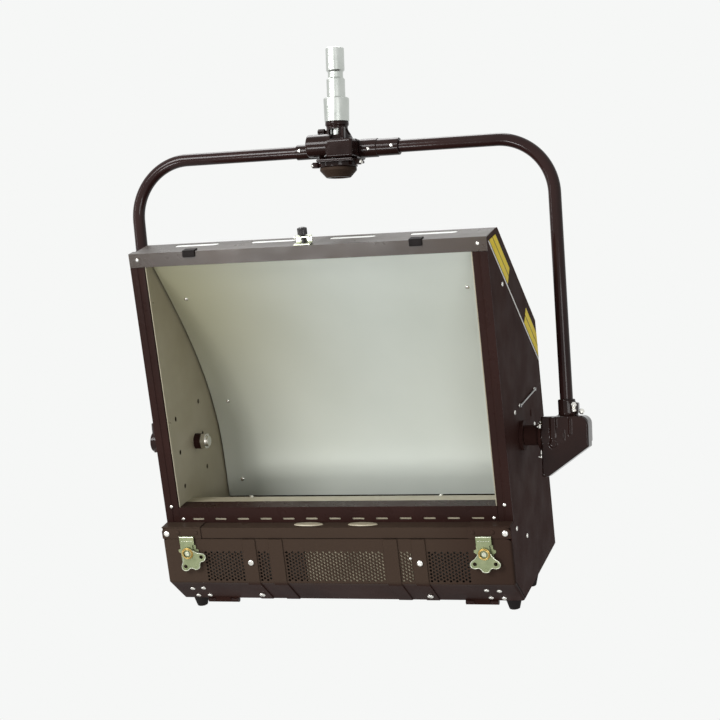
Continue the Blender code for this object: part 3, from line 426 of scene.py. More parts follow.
def run_nodes(tree, start, sizes):
    """Runs a tree of Geometry Nodes once and gives its result as a plain shape."""
    maker = linked(tree.name + "_maker", start)
    nodes = modify(maker, "NODES", node_group=tree)
    for item in tree.interface.items_tree:
        if item.item_type == "SOCKET" and item.in_out == "INPUT" and item.name in sizes:
            nodes[item.identifier] = sizes[item.name]
    return evaluated(maker)


def place_piece(name, shape, surface, body, *stands_for, crisp=CRISP):
    """Puts a finished shape in its place on a body, in the CAD's frame."""
    bmesh.ops.remove_doubles(shape, verts=shape.verts, dist=0.002)
    set_at(shape, YOKE if body == "yoke" else HEAD)
    bmesh.ops.recalc_face_normals(shape, faces=shape.faces)
    piece = linked(name, mesh_of(shape, name))
    piece.data.materials.append(surface)
    piece.data.shade_smooth()
    piece.data.set_sharp_from_angle(angle=math.radians(crisp))
    even_shading(piece)
    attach(piece, body)
    if stands_for:
        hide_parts(*stands_for)


def set_at(shape, place):
    bmesh.ops.transform(shape, matrix=place, verts=shape.verts)
    return shape


def merge(*shapes):
    """All given shapes as one, kept as separate shells."""
    whole = shapes[0]
    for other in shapes[1:]:
        mesh = mesh_of(other)
        whole.from_mesh(mesh)
        bpy.data.meshes.remove(mesh)
    return whole


def carved(shape, cutter):
    """A shape with another taken out of it."""
    tool = linked("tool", mesh_of(cutter))
    maker = linked("maker", mesh_of(shape))
    modify(maker, "BOOLEAN", operation="DIFFERENCE", solver="EXACT", object=tool)
    done = evaluated(maker)
    bpy.data.objects.remove(tool)
    return done


def melted(shape, passes):
    """Overlapping solids as one skin with small fillets, as they come from a sand mould."""
    maker = linked("maker", mesh_of(shape))
    modify(maker, "REMESH", mode="VOXEL", voxel_size=1.1)
    modify(maker, "SMOOTH", factor=0.5, iterations=passes)
    return evaluated(maker)


def loft(rings, closed=False):
    """A skin over rings of points, capped at its ends or run round into itself.

    A ring of one point is a tip, and needs no cap.
    """
    shape = bmesh.new()
    sides = max(len(ring) for ring in rings)
    rows = []
    for ring in rings:
        row = [shape.verts.new(point) for point in ring]
        rows.append(row if len(row) == sides else row * sides)
    for i in range(len(rows) if closed else len(rows) - 1):
        low, high = rows[i], rows[(i + 1) % len(rows)]
        for k in range(sides):
            after = (k + 1) % sides
            corners = dict.fromkeys((low[k], low[after], high[after], high[k]))
            if len(corners) > 2:
                shape.faces.new(list(corners))
    for ring, row in ((rings[0], rows[0][::-1]), (rings[-1], rows[-1])):
        if not closed and len(ring) > 1:
            shape.faces.new(row)
    return shape


def turned_shape(profile, sides=40):
    """A shape turned about Z from (radius, height) points, with both ends on the axis."""
    return loft([[(*spot, height) for spot in circle(0, 0, radius, sides if radius else 1)]
                 for radius, height in profile])


def tube_shape(points, radius, sides, closed=False):
    """A round bar along points that lie in one depth, with its rings square to the path."""
    depth = Vector((0, 1, 0))
    ends = (points[-1], points[0]) if closed else (points[0], points[-1])
    path = [ends[0], *points, ends[1]]
    rings = []
    for before, point, after in zip(path, points, path[2:]):
        across = (Vector(after) - Vector(before)).cross(depth).normalized()
        rings.append([Vector(point) + (across * math.cos(a) + depth * math.sin(a)) * radius
                      for a in turns(sides)])
    return loft(rings, closed)


def bar_shape(start, end, radius, sides=24):
    """A plain round bar between two points."""
    shape = bmesh.new()
    start = Vector(start)
    end = Vector(end)
    along = end - start
    bmesh.ops.create_cone(shape, cap_ends=True, segments=sides, radius1=radius, radius2=radius,
                          depth=along.length)
    turn = along.to_track_quat("Z", "Y").to_matrix().to_4x4()
    return set_at(shape, Matrix.Translation((start + end) / 2) @ turn)


def block_shape(low, high, soft=0):
    """A block between two corners, with its edges softened."""
    shape = bmesh.new()
    bmesh.ops.create_cube(shape, size=1)
    low = Vector(low)
    high = Vector(high)
    set_at(shape, Matrix.Translation((low + high) / 2) @ Matrix.Diagonal((*(high - low), 1)))
    if soft:
        bmesh.ops.bevel(shape, geom=shape.edges[:], offset=soft, segments=2, profile=0.5, affect="EDGES")
    return shape


def circle(u, v, radius, sides=28):
    return [(u + radius * math.cos(a), v + radius * math.sin(a)) for a in turns(sides)]


def plate_shape(outline, low, high, holes=(), soft=0.25, plane="XZ"):
    """A flat plate with softened edges, its outline in X and Z or in Y and Z, between two depths."""
    drawing = bpy.data.curves.new("outline", "CURVE")
    drawing.dimensions = "2D"
    drawing.fill_mode = "BOTH"
    drawing.bevel_depth = soft
    drawing.bevel_resolution = 1
    drawing.offset = -soft
    drawing.extrude = (high - low) / 2 - soft
    for line in (outline, *holes):
        spline = drawing.splines.new("POLY")
        spline.points.add(len(line) - 1)
        for place, (u, v) in zip(spline.points, line):
            place.co = (u, v, 0, 1)
        spline.use_cyclic_u = True
    middle = (low + high) / 2
    if plane == "XZ":
        turn = Matrix(((1, 0, 0, 0), (0, 0, 1, middle), (0, 1, 0, 0), (0, 0, 0, 1)))
    else:
        turn = Matrix(((0, 0, 1, middle), (1, 0, 0, 0), (0, 1, 0, 0), (0, 0, 0, 1)))
    return set_at(evaluated(linked("plate", drawing)), turn)


def outward(path):
    """Unit normals of a line of (y, z) points that runs down, pointing forward and down."""
    normals = []
    for before, after in zip([path[0], *path], [*path[1:], path[-1]]):
        along = (Vector(after) - Vector(before)).normalized()
        normals.append(Vector((along[1], -along[0])))
    return normals


# Yoke tubes and reflector

BAR_HEIGHT = 435.5
BEND = 85
TUBE_RADIUS = 9.5
# Where each arm's middle meets the tilt axis, and its lean
ARMS = {1: (340, 1.5), -1: (305.5, -4.25)}


def yoke_path(side, inner_x, foot_z, steps=40):
    """Middle line of half the yoke: along the bar, round the bend and down to the arm's foot."""
    foot = ARMS[side][0]
    lean = math.radians(ARMS[side][1])
    corner_x = foot - BAR_HEIGHT * math.tan(lean)
    sweep = math.pi / 2 - lean
    bend_x = corner_x - BEND * math.tan(sweep / 2)
    points = [(inner_x, BAR_HEIGHT)]
    for i in range(steps + 1):
        angle = sweep * i / steps
        points.append((bend_x + BEND * math.sin(angle), BAR_HEIGHT - BEND * (1 - math.cos(angle))))
    points.append((foot - foot_z * math.tan(lean), foot_z))
    return [(side * x, 0, z) for x, z in points]


def bend_tubes():
    """The two halves of the yoke, bent from one size of round tube."""
    for word, side, inner_x, foot_z in (("left", -1, 24.8, 15), ("right", 1, 37.6, 24)):
        shape = tube_shape(yoke_path(side, inner_x, foot_z), TUBE_RADIUS, 40)
        place_piece("bent_tube_" + word, shape, TUBE_ENAMEL, "yoke", "yoke_tube_" + word)


# Control points of the reflector's sweep from the side, its straight end and half its width
REFLECTOR_SWEEP = ((-80, 304), (10, 184), (95, 70), (95, -60))
REFLECTOR_END = (95, -124)
REFLECTOR_HALF = 243.6


def reflector_line(steps=72):
    """The reflector from the side: one smooth sweep, then straight down to the lamps."""
    line = []
    for i in range(steps + 1):
        t = i / steps
        s = 1 - t
        weights = (s ** 3, 3 * s * s * t, 3 * s * t * t, t ** 3)
        line.append(tuple(sum(w * p[k] for w, p in zip(weights, REFLECTOR_SWEEP)) for k in (0, 1)))
    return line + [REFLECTOR_END]


def roll_reflector():
    """The reflector sheet, one millimetre thick."""
    line = reflector_line()
    edge = REFLECTOR_HALF
    rings = []
    for (y, z), out in zip(line, outward(line)):
        back = (y - out[0], z - out[1])
        rings.append([(-edge, y, z), (edge, y, z), (edge, *back), (-edge, *back)])
    place_piece("rolled_reflector", loft(rings), REFLECTOR, "head", "reflector")


# Door: perforated sheet steel with raised bands, folded to a sloping foot

DOOR_TOP = -116.4
DOOR_PATH = [(DOOR_FACE, DOOR_TOP), (DOOR_FACE, -186), (-73, -230.1)]
# Left edge and number of hole columns of each punched zone
ZONES = ((-206, 13), (-120.7, 4), (-76.8, 32), (100.4, 4), (143, 13))
ZONE_TOP = -134.6
ZONE_LOW = -183.2
HOLE_PITCH = 5.5
HOLE_ROWS = 9
HOLE_RADIUS = 1.95
COLUMN_STEP = HOLE_PITCH * math.cos(math.radians(30))
SIDE_MARGIN = 3
TOP_MARGIN = 2.9
BANDS = ((-142, -121), (-100, -78), (78, 100), (121, 142))
HINGE_PIN = (-70, -234)


def perforation_tree():
    """A flat sheet punched with round holes in staggered columns."""
    tree = bpy.data.node_groups.new("perforated_sheet", "GeometryNodeTree")
    given = sockets(tree, {"Width": 100.0, "Columns": 10})
    width, columns = given.outputs[1], given.outputs[2]
    math_node = "ShaderNodeMath"
    total = add(tree, math_node, {0: columns, 1: HOLE_ROWS}, operation="MULTIPLY")
    index = add(tree, "GeometryNodeInputIndex")
    share = add(tree, math_node, {0: index, 1: HOLE_ROWS}, operation="DIVIDE")
    column = add(tree, math_node, {0: share}, operation="FLOOR")
    row = add(tree, math_node, {0: index, 1: HOLE_ROWS}, operation="MODULO")
    odd = add(tree, math_node, {0: column, 1: 2}, operation="MODULO")
    x = add(tree, math_node, {0: column, 1: COLUMN_STEP, 2: SIDE_MARGIN}, operation="MULTIPLY_ADD")
    fall = add(tree, math_node, {0: odd, 1: 0.5, 2: row}, operation="MULTIPLY_ADD")
    y = add(tree, math_node, {0: fall, 1: -HOLE_PITCH, 2: -TOP_MARGIN}, operation="MULTIPLY_ADD")
    spot = add(tree, "ShaderNodeCombineXYZ", {"X": x, "Y": y})
    dots = add(tree, "GeometryNodePoints", {"Count": total, "Position": spot})
    last = add(tree, math_node, {0: row, 1: HOLE_ROWS - 1, 2: 0.1}, operation="COMPARE")
    stray = add(tree, math_node, {0: odd, 1: last}, operation="MULTIPLY")
    kept = add(tree, "GeometryNodeDeleteGeometry", {"Geometry": dots, "Selection": stray}, domain="POINT")
    ring = add(tree, "GeometryNodeCurvePrimitiveCircle", {"Resolution": 12, "Radius": HOLE_RADIUS})
    holes = add(tree, "GeometryNodeInstanceOnPoints", {"Points": kept, "Instance": ring})
    edge = add(tree, "GeometryNodeCurvePrimitiveQuadrilateral", {
        "Width": width, "Height": ZONE_TOP - ZONE_LOW})
    half = add(tree, math_node, {0: width, 1: 0.5}, operation="MULTIPLY")
    middle = add(tree, "ShaderNodeCombineXYZ", {"X": half, "Y": (ZONE_LOW - ZONE_TOP) / 2})
    moved = add(tree, "GeometryNodeTransform", {"Geometry": edge, "Translation": middle})
    lines = add(tree, "GeometryNodeJoinGeometry", {0: [moved, holes]})
    real = add(tree, "GeometryNodeRealizeInstances", {"Geometry": lines})
    sheet = add(tree, "GeometryNodeFillCurve", {"Curve": real})
    wall = add(tree, "GeometryNodeExtrudeMesh", {"Mesh": sheet, "Offset Scale": SHEET, "Individual": False})
    under = add(tree, "GeometryNodeFlipFaces", {"Mesh": sheet})
    both = add(tree, "GeometryNodeJoinGeometry", {0: [wall, under]})
    add(tree, "NodeGroupOutput", {0: both})
    return tree


def zone_width(columns):
    return 2 * SIDE_MARGIN + (columns - 1) * COLUMN_STEP


def punch_zones():
    tree = perforation_tree()
    zones = []
    for left, columns in ZONES:
        sizes = {"Width": zone_width(columns), "Columns": columns}
        sheet = run_nodes(tree, bpy.data.meshes.new("start"), sizes)
        zones.append(set_at(sheet, at(left, DOOR_FACE + SHEET, ZONE_TOP, 90)))
    place_piece("door_perforation", merge(*zones), FRONT_ENAMEL, "door", "door")


def rounded(path, radius, steps):
    """A line of (y, z) points with its inner corners rounded."""
    out = [path[0]]
    for before, corner, after in zip(path, path[1:], path[2:]):
        a = (Vector(before) - Vector(corner)).normalized()
        b = (Vector(after) - Vector(corner)).normalized()
        half = math.acos(max(-1, min(1, a.dot(b)))) / 2
        reach = radius / math.tan(half)
        middle = Vector(corner) + (a + b).normalized() * (radius / math.sin(half))
        first = Vector(corner) + a * reach - middle
        last = Vector(corner) + b * reach - middle
        out += [tuple(middle + first.lerp(last, i / steps).normalized() * radius)
                for i in range(steps + 1)]
    return out + [path[-1]]


def swept_sheet(path, columns, skip):
    """A bent sheet from a line of (y, z) points and columns of (x, sink), with a wall.

    Sink lowers a column toward the inside, so that a folded edge rounds off. Cells
    whose middle is skipped are left open for a piece that fills them.
    """
    shape = bmesh.new()
    outer = []
    inner = []
    for (y, z), n in zip(path, outward(path)):
        for rows, depth in ((outer, 0), (inner, SHEET)):
            rows.append([shape.verts.new((x, y - n[0] * (sink + depth), z - n[1] * (sink + depth)))
                         for x, sink in columns])
    used = {(i, j) for i in range(len(path) - 1) for j in range(len(columns) - 1)
            if not skip((columns[j][0] + columns[j + 1][0]) / 2, (path[i][1] + path[i + 1][1]) / 2)}
    for i, j in used:
        cell = ((i, j), (i + 1, j), (i + 1, j + 1), (i, j + 1))
        a, b, c, d = [outer[m][n] for m, n in cell]
        e, f, g, h = [inner[m][n] for m, n in cell]
        shape.faces.new((a, b, c, d))
        shape.faces.new((h, g, f, e))
        for beside, wall in (((i, j - 1), (a, b, f, e)), ((i, j + 1), (d, c, g, h)),
                             ((i - 1, j), (a, d, h, e)), ((i + 1, j), (b, c, g, f))):
            if beside not in used:
                shape.faces.new(wall)
    loose = [v for v in shape.verts if not v.link_faces]
    bmesh.ops.delete(shape, geom=loose, context="VERTS")
    return shape


def band_bar(path, low, high):
    """A raised band along the door: a bar with softened long edges."""
    rise = 1.7
    sink = 1.2
    soft = 0.7
    section = ((low, -sink), (low, rise - soft), (low + soft, rise), (high - soft, rise),
               (high, rise - soft), (high, -sink))
    return loft([[(x, y + n[0] * lift, z + n[1] * lift) for x, lift in section]
                 for (y, z), n in zip(path, outward(path))])


def punched(x, z):
    """Whether a point of the door lies in a punched zone."""
    return ZONE_LOW < z < ZONE_TOP and any(left < x < left + zone_width(n) for left, n in ZONES)


def build_door():
    """The lower cover: a folded sheet with rounded side folds, open zones and raised bands."""
    heights = [DOOR_TOP - drop for drop in (0, 0.7, 1.8, 3.4, 5.4, 8)] + [ZONE_TOP, ZONE_LOW]
    line = [(DOOR_FACE, z) for z in heights] + rounded(DOOR_PATH, 3, 4)[1:]
    fold = 4
    right = [(HEAD_HALF - fold + fold * math.sin(a), fold * (1 - math.cos(a))) for a in quarter(5)]
    edges = {-SCREW_ROW, SCREW_ROW, 0}
    for left, columns in ZONES:
        edges.update((left, left + zone_width(columns)))
    columns = [(-x, sink) for x, sink in reversed(right)] + [(x, 0) for x in sorted(edges)] + right
    sheet = swept_sheet(line, columns, punched)
    corner = 8
    for vert in sheet.verts:
        out = abs(vert.co.x) - (HEAD_HALF - corner)
        if out > 0 and vert.co.z > DOOR_TOP - corner - 0.1:
            drop = corner - math.sqrt(max(corner ** 2 - min(out, corner) ** 2, 0))
            vert.co.z = min(vert.co.z, DOOR_TOP - drop)
    band_path = rounded(DOOR_PATH, 13, 8)[:-1] + [(-74.4, -228.8)]
    parts = [band_bar(band_path, low, high) for low, high in BANDS]
    y, z = HINGE_PIN
    for middle in (-205, 205):
        low = middle - 12
        high = middle + 12
        parts.append(bar_shape((low, y, z), (high, y, z), 4))
        parts.append(block_shape((low, y - 4, z + 1), (high, y - 1.6, z + 6.5), 0.4))
    place_piece("door_cover", merge(sheet, *parts), FRONT_ENAMEL, "door", "door")


# Screws: pan heads with a cross recess, wherever the sheets are held

def screw_head():
    """A pan head one unit in radius with a cross recess, standing on Z."""
    dome = turned_shape([(0, -0.1), (1, -0.1), (1, 0.14), (0.94, 0.3), (0.78, 0.43), (0.5, 0.51), (0, 0.54)],
                        20)
    arms = carved(dome, block_shape((-0.56, -0.11, 0.26), (0.56, 0.11, 0.8)))
    return carved(arms, block_shape((-0.11, -0.56, 0.26), (0.11, 0.56, 0.8)))


def screw_tree(head):
    """A screw head on each point, turned to face along it and scaled to its radius."""
    tree = bpy.data.node_groups.new("screw_heads", "GeometryNodeTree")
    given = sockets(tree, {"Seed": 7})
    facing = add(tree, "GeometryNodeInputNamedAttribute", {"Name": "facing"}, data_type="FLOAT_VECTOR")
    radius = add(tree, "GeometryNodeInputNamedAttribute", {"Name": "radius"}, data_type="FLOAT")
    source = add(tree, "GeometryNodeObjectInfo", {"Object": head}).outputs["Geometry"]
    align = add(tree, "FunctionNodeAlignRotationToVector", {"Vector": facing}, axis="Z")
    heads = add(tree, "GeometryNodeInstanceOnPoints", {
        "Points": given, "Instance": source, "Rotation": align, "Scale": radius})
    angle = add(tree, "FunctionNodeRandomValue", {
        2: 0, 3: 1.571, "Seed": given.outputs["Seed"]}, data_type="FLOAT").outputs[1]
    spin = add(tree, "ShaderNodeCombineXYZ", {"Z": angle})
    turned = add(tree, "GeometryNodeRotateInstances", {"Instances": heads, "Rotation": spin})
    real = add(tree, "GeometryNodeRealizeInstances", {"Geometry": turned})
    add(tree, "NodeGroupOutput", {0: real})
    return tree


FRONT = (0, -1, 0)
SLOPE = (0, -0.6912, -0.7226)
BACK = (0, 1, 0)
BACK_SLOPE = (0, 0.709, 0.7052)
TROUGH_LIP = (0, -0.3, 0.954)


def mirrored(spots, facing, radius):
    """The same screws on both sides of the middle."""
    return [((side * x, y, z), facing, radius) for x, y, z in spots for side in (-1, 1)]


def side_row(side, spots, radius):
    """Screws on a side panel, from (y, z) places."""
    return [((side * HEAD_HALF, y, z), (side, 0, 0), radius) for y, z in spots]


SIDE_SPOTS = ((-31, 236), (-28.5, 44), (-83, -114), (-25, -147))
STAY_ENDS = ((4.5, 44.5), (105.5, 39.3))
HEAD_SCREWS = [
    *mirrored([(257, -96, 310.5), (259, -96, -73), (242, -96, -93)], FRONT, 2.7),
    *mirrored([(SCREW_ROW, RAIL_FACE, -107.5)], FRONT, 4.7),
    *side_row(1, SIDE_SPOTS, 3.4),
    *side_row(-1, SIDE_SPOTS, 3.4),
    *side_row(1, STAY_ENDS, 3),
    *side_row(1, ((86, -10), (114, -65)), 3.6),
    *mirrored([(SCREW_ROW, 155, z) for z in (108, -12, -132, -216)], BACK, 3),
    *mirrored([(SCREW_ROW, 18, 271.7), (SCREW_ROW, 118, 171.2)], BACK_SLOPE, 3),
    *mirrored([(150, -41, -78.2)], TROUGH_LIP, 3.3),
]
DOOR_SCREWS = [
    *mirrored([(131.4, -121.2, -153)], FRONT, 4.7),
    *mirrored([(132.5, -90.8, -216.9)], SLOPE, 4.7),
    *mirrored([(222, -103.4, -201.4), (240.5, -101.8, -203), (222, -82.2, -221.7),
               (241.5, -81.4, -222.4)], SLOPE, 3.9),
]
YOKE_SCREWS = [
    ((-36, -16, 412.5), (-0.8, -0.6, -0.15), 3.2),
    ((41.6, -18, 414), (0.75, -0.65, 0), 3.2),
    ((88, -13.2, 436), (0, -1, 0.1), 2.6),
    ((52, -14.2, 433), (0, -1, -0.1), 2.6),
    ((-58, -11.6, 437), (0, -1, 0.1), 2.6),
]


def reflector_screws():
    """Screws in two columns, each square to the curve where it sits."""
    line = reflector_line()
    spots = []
    for height in (233, 40, -96):
        i = next(k for k, (_, z) in enumerate(line) if z <= height)
        (y0, z0), (y1, z1) = line[i - 1], line[i]
        along = Vector((y1 - y0, z1 - z0)).normalized()
        y = y0 + (y1 - y0) * (z0 - height) / (z0 - z1)
        spots += mirrored([(218, y, height)], (0, along[1], -along[0]), 3.3)
    return spots


def set_screws(name, spots, body):
    """One piece with a screw head at each spot of place, facing and radius."""
    start = bpy.data.meshes.new("spots")
    start.from_pydata([spot for spot, _, _ in spots], [], [])
    start.attributes.new("facing", "FLOAT_VECTOR", "POINT")
    start.attributes.new("radius", "FLOAT", "POINT")
    for i, (_, way, size) in enumerate(spots):
        start.attributes["facing"].data[i].vector = way
        start.attributes["radius"].data[i].value = size
    head = linked("head", mesh_of(screw_head()))
    shape = run_nodes(screw_tree(head), start, {})
    bpy.data.objects.remove(head)
    place_piece(name, shape, NICKEL, body)


# Latches, drawn about their own middle and then set in place

LATCH_X = 230
LATCH_Z = -137
BASE_HALF = [(12.4, -125), (12.6, -131.5), (16.4, -133.2), (16.4, -136.6), (12.8, -139), (12.6, -156)]
WING = [(7.5, 4.5), (10.5, -1), (15.5, -7.5), (20.5, -11.5), (23, -16), (21.5, -20.5), (16.5, -22.8),
        (11, -22), (7, -24.5), (4.5, -28)]


def both_halves(half):
    """A closed outline from its right half."""
    return half + [(-u, v) for u, v in reversed(half)]


def smooth_loop(points, steps):
    """A closed line through all points, rounded between them."""
    out = []
    total = len(points)
    for i in range(total):
        p = [Vector(points[(i + k - 1) % total]) for k in range(4)]
        for j in range(steps):
            t = j / steps
            spot = 2 * p[1] + (p[2] - p[0]) * t + (2 * p[0] - 5 * p[1] + 4 * p[2] - p[3]) * t ** 2
            spot = spot + (3 * p[1] - p[0] - 3 * p[2] + p[3]) * t ** 3
            out.append(tuple(spot / 2))
    return out


def wing_line(grow=0):
    """Outline of the butterfly wing, larger or smaller by an offset."""
    line = WING + [(0, -29)] + [(-x, z) for x, z in reversed(WING)] + [(-4.5, 7.9), (0, 9), (4.5, 7.9)]
    middle = Vector((0, -11))
    return [tuple(Vector(p) + (Vector(p) - middle).normalized() * grow) for p in smooth_loop(line, 4)]


def build_latches():
    """Two draw latches: a fixed base, a hook plate that slides and a wing that turns it."""
    for word, side, turned_by in (("left", -1, 29), ("right", 1, 0)):
        base = plate_shape(both_halves(BASE_HALF), -120.9, DOOR_FACE, soft=0.3)
        strike = plate_shape(both_halves([(11.5, -115.5), (11.5, -111.5)]), -121.7, -120.1, soft=0.3)
        slot = both_halves([(4, -150.2), (4, -131)])
        slide_half = [(8, -154.5), (8, -125), (11.5, -123.4), (11.5, -112)]
        slide = plate_shape(both_halves(slide_half), -123.5, -122, [slot], soft=0.35)
        folds = [bar_shape((-11.3, -122.8, -112.4), (11.3, -122.8, -112.4), 0.9, 12)]
        folds += [block_shape((u - 1.3, -123.8, -118.8), (u + 1.3, -123.2, -117.9), 0.2)
                  for u in (-7.6, -3.8, 0, 3.8, 7.6)]
        holes = [circle(-15.5, -15.6, 2.9), circle(15.4, -15.5, 2.9)]
        wing = plate_shape(wing_line(), -125.7, -124, holes, soft=0.4)
        press = plate_shape(both_halves([(3.5, -23.4), (2.4, -21.8)]), -126.1, -125.5, soft=0.2)
        rim = tube_shape([(u, -125.5, v) for u, v in wing_line(-0.9)], 0.75, 8, closed=True)
        hub = turned_shape([(0, 3), (3.6, 3), (3.6, -1.6), (3.2, -2), (0, -2)], 28)
        hub = carved(set_at(hub, at(0, -125.9, 0, -90)), block_shape((-0.5, -129, -5), (0.5, -127.2, 5)))
        coils = [tube_shape([(u, -126.4 - 0.9 * k, v) for u, v in circle(0, 0, 8.2 - 1.4 * k, 36)],
                            0.95, 8, closed=True) for k in (0, 1)]
        still = at(side * LATCH_X, 0, 0)
        turn = at(side * LATCH_X, 0, LATCH_Z, -turned_by, "Y")
        hook = "latch_hook_" + word
        whirl = "latch_wing_" + word
        for name, shape, place, surface, body, *stands_for in (
                ("base", base, still, CHROMATE, "door"),
                ("strike", strike, still, CHROMATE, "head", "latch_keeper_" + word),
                ("slide", slide, still, CHROMATE, hook, hook),
                ("fold", merge(*folds), still, BRIGHT_ZINC, hook),
                ("butterfly", merge(wing, press), turn, CHROMATE, whirl, whirl),
                ("rim", merge(rim, hub), turn, BRIGHT_ZINC, whirl),
                ("spring", merge(*coils), turn, BRASS, whirl)):
            place_piece(f"latch_{name}_{word}", set_at(shape, place), surface, body, *stands_for)


# Small things on the head

def stripe_patch(name, surface, inner, outer, start, stop, rise=0.3):
    """A length of slanting tape on the right side, between two sums of Y and Z.

    Start and stop turn such a sum into the difference of Y and Z where the tape is cut.
    """
    spots = ((inner, start), (inner, stop), (outer, stop), (outer, start))
    corners = [((total + cut(total)) / 2, (total - cut(total)) / 2) for total, cut in spots]
    shape = plate_shape(corners, HEAD_HALF, HEAD_HALF + rise, soft=0.08, plane="YZ")
    place_piece(name, shape, surface, "head")


def dress_side():
    """Tape stripe with its middle left bare, and the thin stay below it."""
    def top(total):
        return total - 2 * 311

    def rear(total):
        return 2 * 154.6 - total

    for name, surface, inner, outer, rise in (("stripe_", STRIPE_YELLOW, 231, 268, 0.3),
                                              ("stripe_line_", STRIPE_OCHRE, 247.5, 251, 0.45)):
        stripe_patch(name + "upper", surface, inner, outer, top, lambda total: -226, rise)
        stripe_patch(name + "lower", surface, inner, outer, lambda total: -67, rear, rise)
    stripe_patch("stripe_edge", STRIPE_WHITE, 223.5, 228, top, rear)
    stay = bar_shape(*[(272.2, y, z) for y, z in STAY_ENDS], 1.1, 16)
    eyes = [bar_shape((HEAD_HALF, y, z), (272.9, y, z), 2.6, 20) for y, z in STAY_ENDS]
    bump = turned_shape([(0, 0), (6, 0), (5.2, 0.7), (3, 1.2), (0, 1.4)], 24)
    place_piece("side_stay", merge(stay, *eyes), STEEL, "head")
    place_piece("side_dimple", set_at(bump, at(269.9, 72, 12, 90, "Y")), DULL_ENAMEL, "head")


def dress_front():
    """Clips on the top bar, pads on the shelf, dimples and top legs of the rail brackets."""
    clips = []
    for x in (-174, 168.5):
        clips.append(block_shape((x - 9.5, -98.6, 311.6), (x + 9.5, -96, 321.4), 0.6))
        clips.append(block_shape((x - 9.5, -98.6, 319.8), (x + 9.5, -84, 321.6), 0.6))
        clips.append(bar_shape((x - 8.6, -98.4, 312.4), (x + 8.6, -98.4, 312.4), 1.2, 12))
    place_piece("frame_clips", merge(*clips), RUBBER, "head")
    # The pads are pale sheet: a painted highlight along their edges
    pads = []
    for middle in (-39, 45.5):
        pad = turned_shape([(0, 0), (1, 0), (0.96, 0.6), (0.86, 1), (0, 1.25)], 40)
        pads.append(set_at(pad, at(middle, -104.5, -99.1) @ Matrix.Diagonal((23, 6.8, 1.6, 1))))
    place_piece("shelf_pads", merge(*pads), END_SHEET, "head")
    bits = []
    for side in (-1, 1):
        low, high = sorted((side * 207, side * 269.7))
        bits.append(block_shape((low, RAIL_FACE, -98.9), (high, -97, -97.4), 0.5))
        for x, z in ((243.5, -105.8), (214.5, -106.4)):
            dome = turned_shape([(0, 0), (3.4, 0), (2.9, 0.9), (1.6, 1.4), (0, 1.55)], 24)
            bits.append(set_at(dome, at(side * x, RAIL_FACE, z, 90)))
    place_piece("bracket_legs", merge(*bits), FRONT_ENAMEL, "head")
    liner = block_shape((-238, -94.3, -97), (238, -93.6, -89), 0.1)
    place_piece("sill_liner", liner, END_SHEET, "head")
    strips = [block_shape((x - 34, -51.6, 316), (x + 34, -38.4, 317.5), 0.3)
              for x in (-181.5, -60.5, 60.5, 181.5)]
    place_piece("vent_strips", merge(*strips), TRAP_WHITE, "head")
    # A pale sheet close behind the middle holes: painted light for the lit inside seen through them
    baffle = block_shape((-45, -117.8, -185), (118, -117.1, -133.5), 0.1)
    place_piece("door_baffle", baffle, BAFFLE, "door")
    dot = turned_shape([(0, 0), (2.2, 0), (1.8, 0.9), (0, 1.3)], 16)
    place_piece("door_rivet", set_at(dot, at(117.3, DOOR_FACE, -146, 90)), NICKEL, "door")


# Castings and grips

def nut_and_stud(size, tall, long):
    """A hexagon nut on the end of its stud, standing on Z."""
    nut = turned_shape([(0, 0), (size, 0), (size, tall), (size * 0.8, tall + 0.8), (0, tall + 0.8)], 6)
    stud = turned_shape([(0, 0), (size * 0.42, 0), (size * 0.42, long), (0, long + 0.3)], 14)
    return merge(nut, stud)


def build_tilt_casing():
    """Gear casing on the right arm, with its socket, bosses and bolts."""
    corner = [(358 + 15 * math.sin(a), 12.5 + 15 * math.cos(a)) for a in quarter(6)]
    web = [(CASE_LEFT, 27.5), *corner, (373, -17), (312, -60), (CASE_LEFT, -60)]
    dome = [(360.5 + 12 * math.sin(a), 16 + 12 * math.cos(a)) for a in quarter(6)]
    outer = [(345, -18), (345, 28), *dome, (372.5, -10), (364, -18)]
    barrel = turned_shape([(0, 52), (11.5, 52), (12.8, 51), (12.8, 29), (15.5, 29), (16.5, 28), (16.5, -20),
                           (0, -20)], 40)
    foot, lean = ARMS[1]
    parts = [
        plate_shape(web, -20, 8, soft=2.2),
        plate_shape(outer, -19, 19, soft=5),
        bar_shape((CASE_LEFT, 0, 0), (337.5, 0, 0), 22.5, 48),
        bar_shape((324, 23.5, -16), (324, 23.5, 20), 11, 32),
        set_at(barrel, at(foot, 0, 0, -lean, "Y")),
        block_shape((318, -23.4, -6), (326, -18, 26.5), 1.2),
        bar_shape((321.5, -22.6, -12.5), (321.5, -18, -12.5), 5, 20),
        block_shape((345.2, -22, 0), (348, -18, 25), 0.8),
        block_shape((344, -11, 31), (357, 5, 47), 2),
    ]
    shape = melted(merge(*parts), 3)
    place_piece("tilt_gear_case", shape, CAST_ENAMEL, "yoke", "tilt_casing", crisp=180)
    bolts = []
    for x, y, z, size in ((351, -13, 42.5, 4.6), (351, -13, 35, 3.6), (362, -9, 33, 4.2)):
        place = at(x, y, z, 62, "X") @ at(0, 0, 0, 18, "Y")
        bolts.append(set_at(nut_and_stud(size, 3.4, 6.6), place))
    for y, z, size in ((-8, 17.5, 3.4), (-15.5, 13, 4.2), (-5, -12.5, 3.2), (-11, -31, 3.2)):
        place = at(CASE_LEFT + 0.1, y, z, 90, "Y") @ at(0, 0, 0, 180, "X")
        bolts.append(set_at(nut_and_stud(size, 3, 6), place))
    place_piece("tilt_case_bolts", merge(*bolts), NICKEL, "yoke")


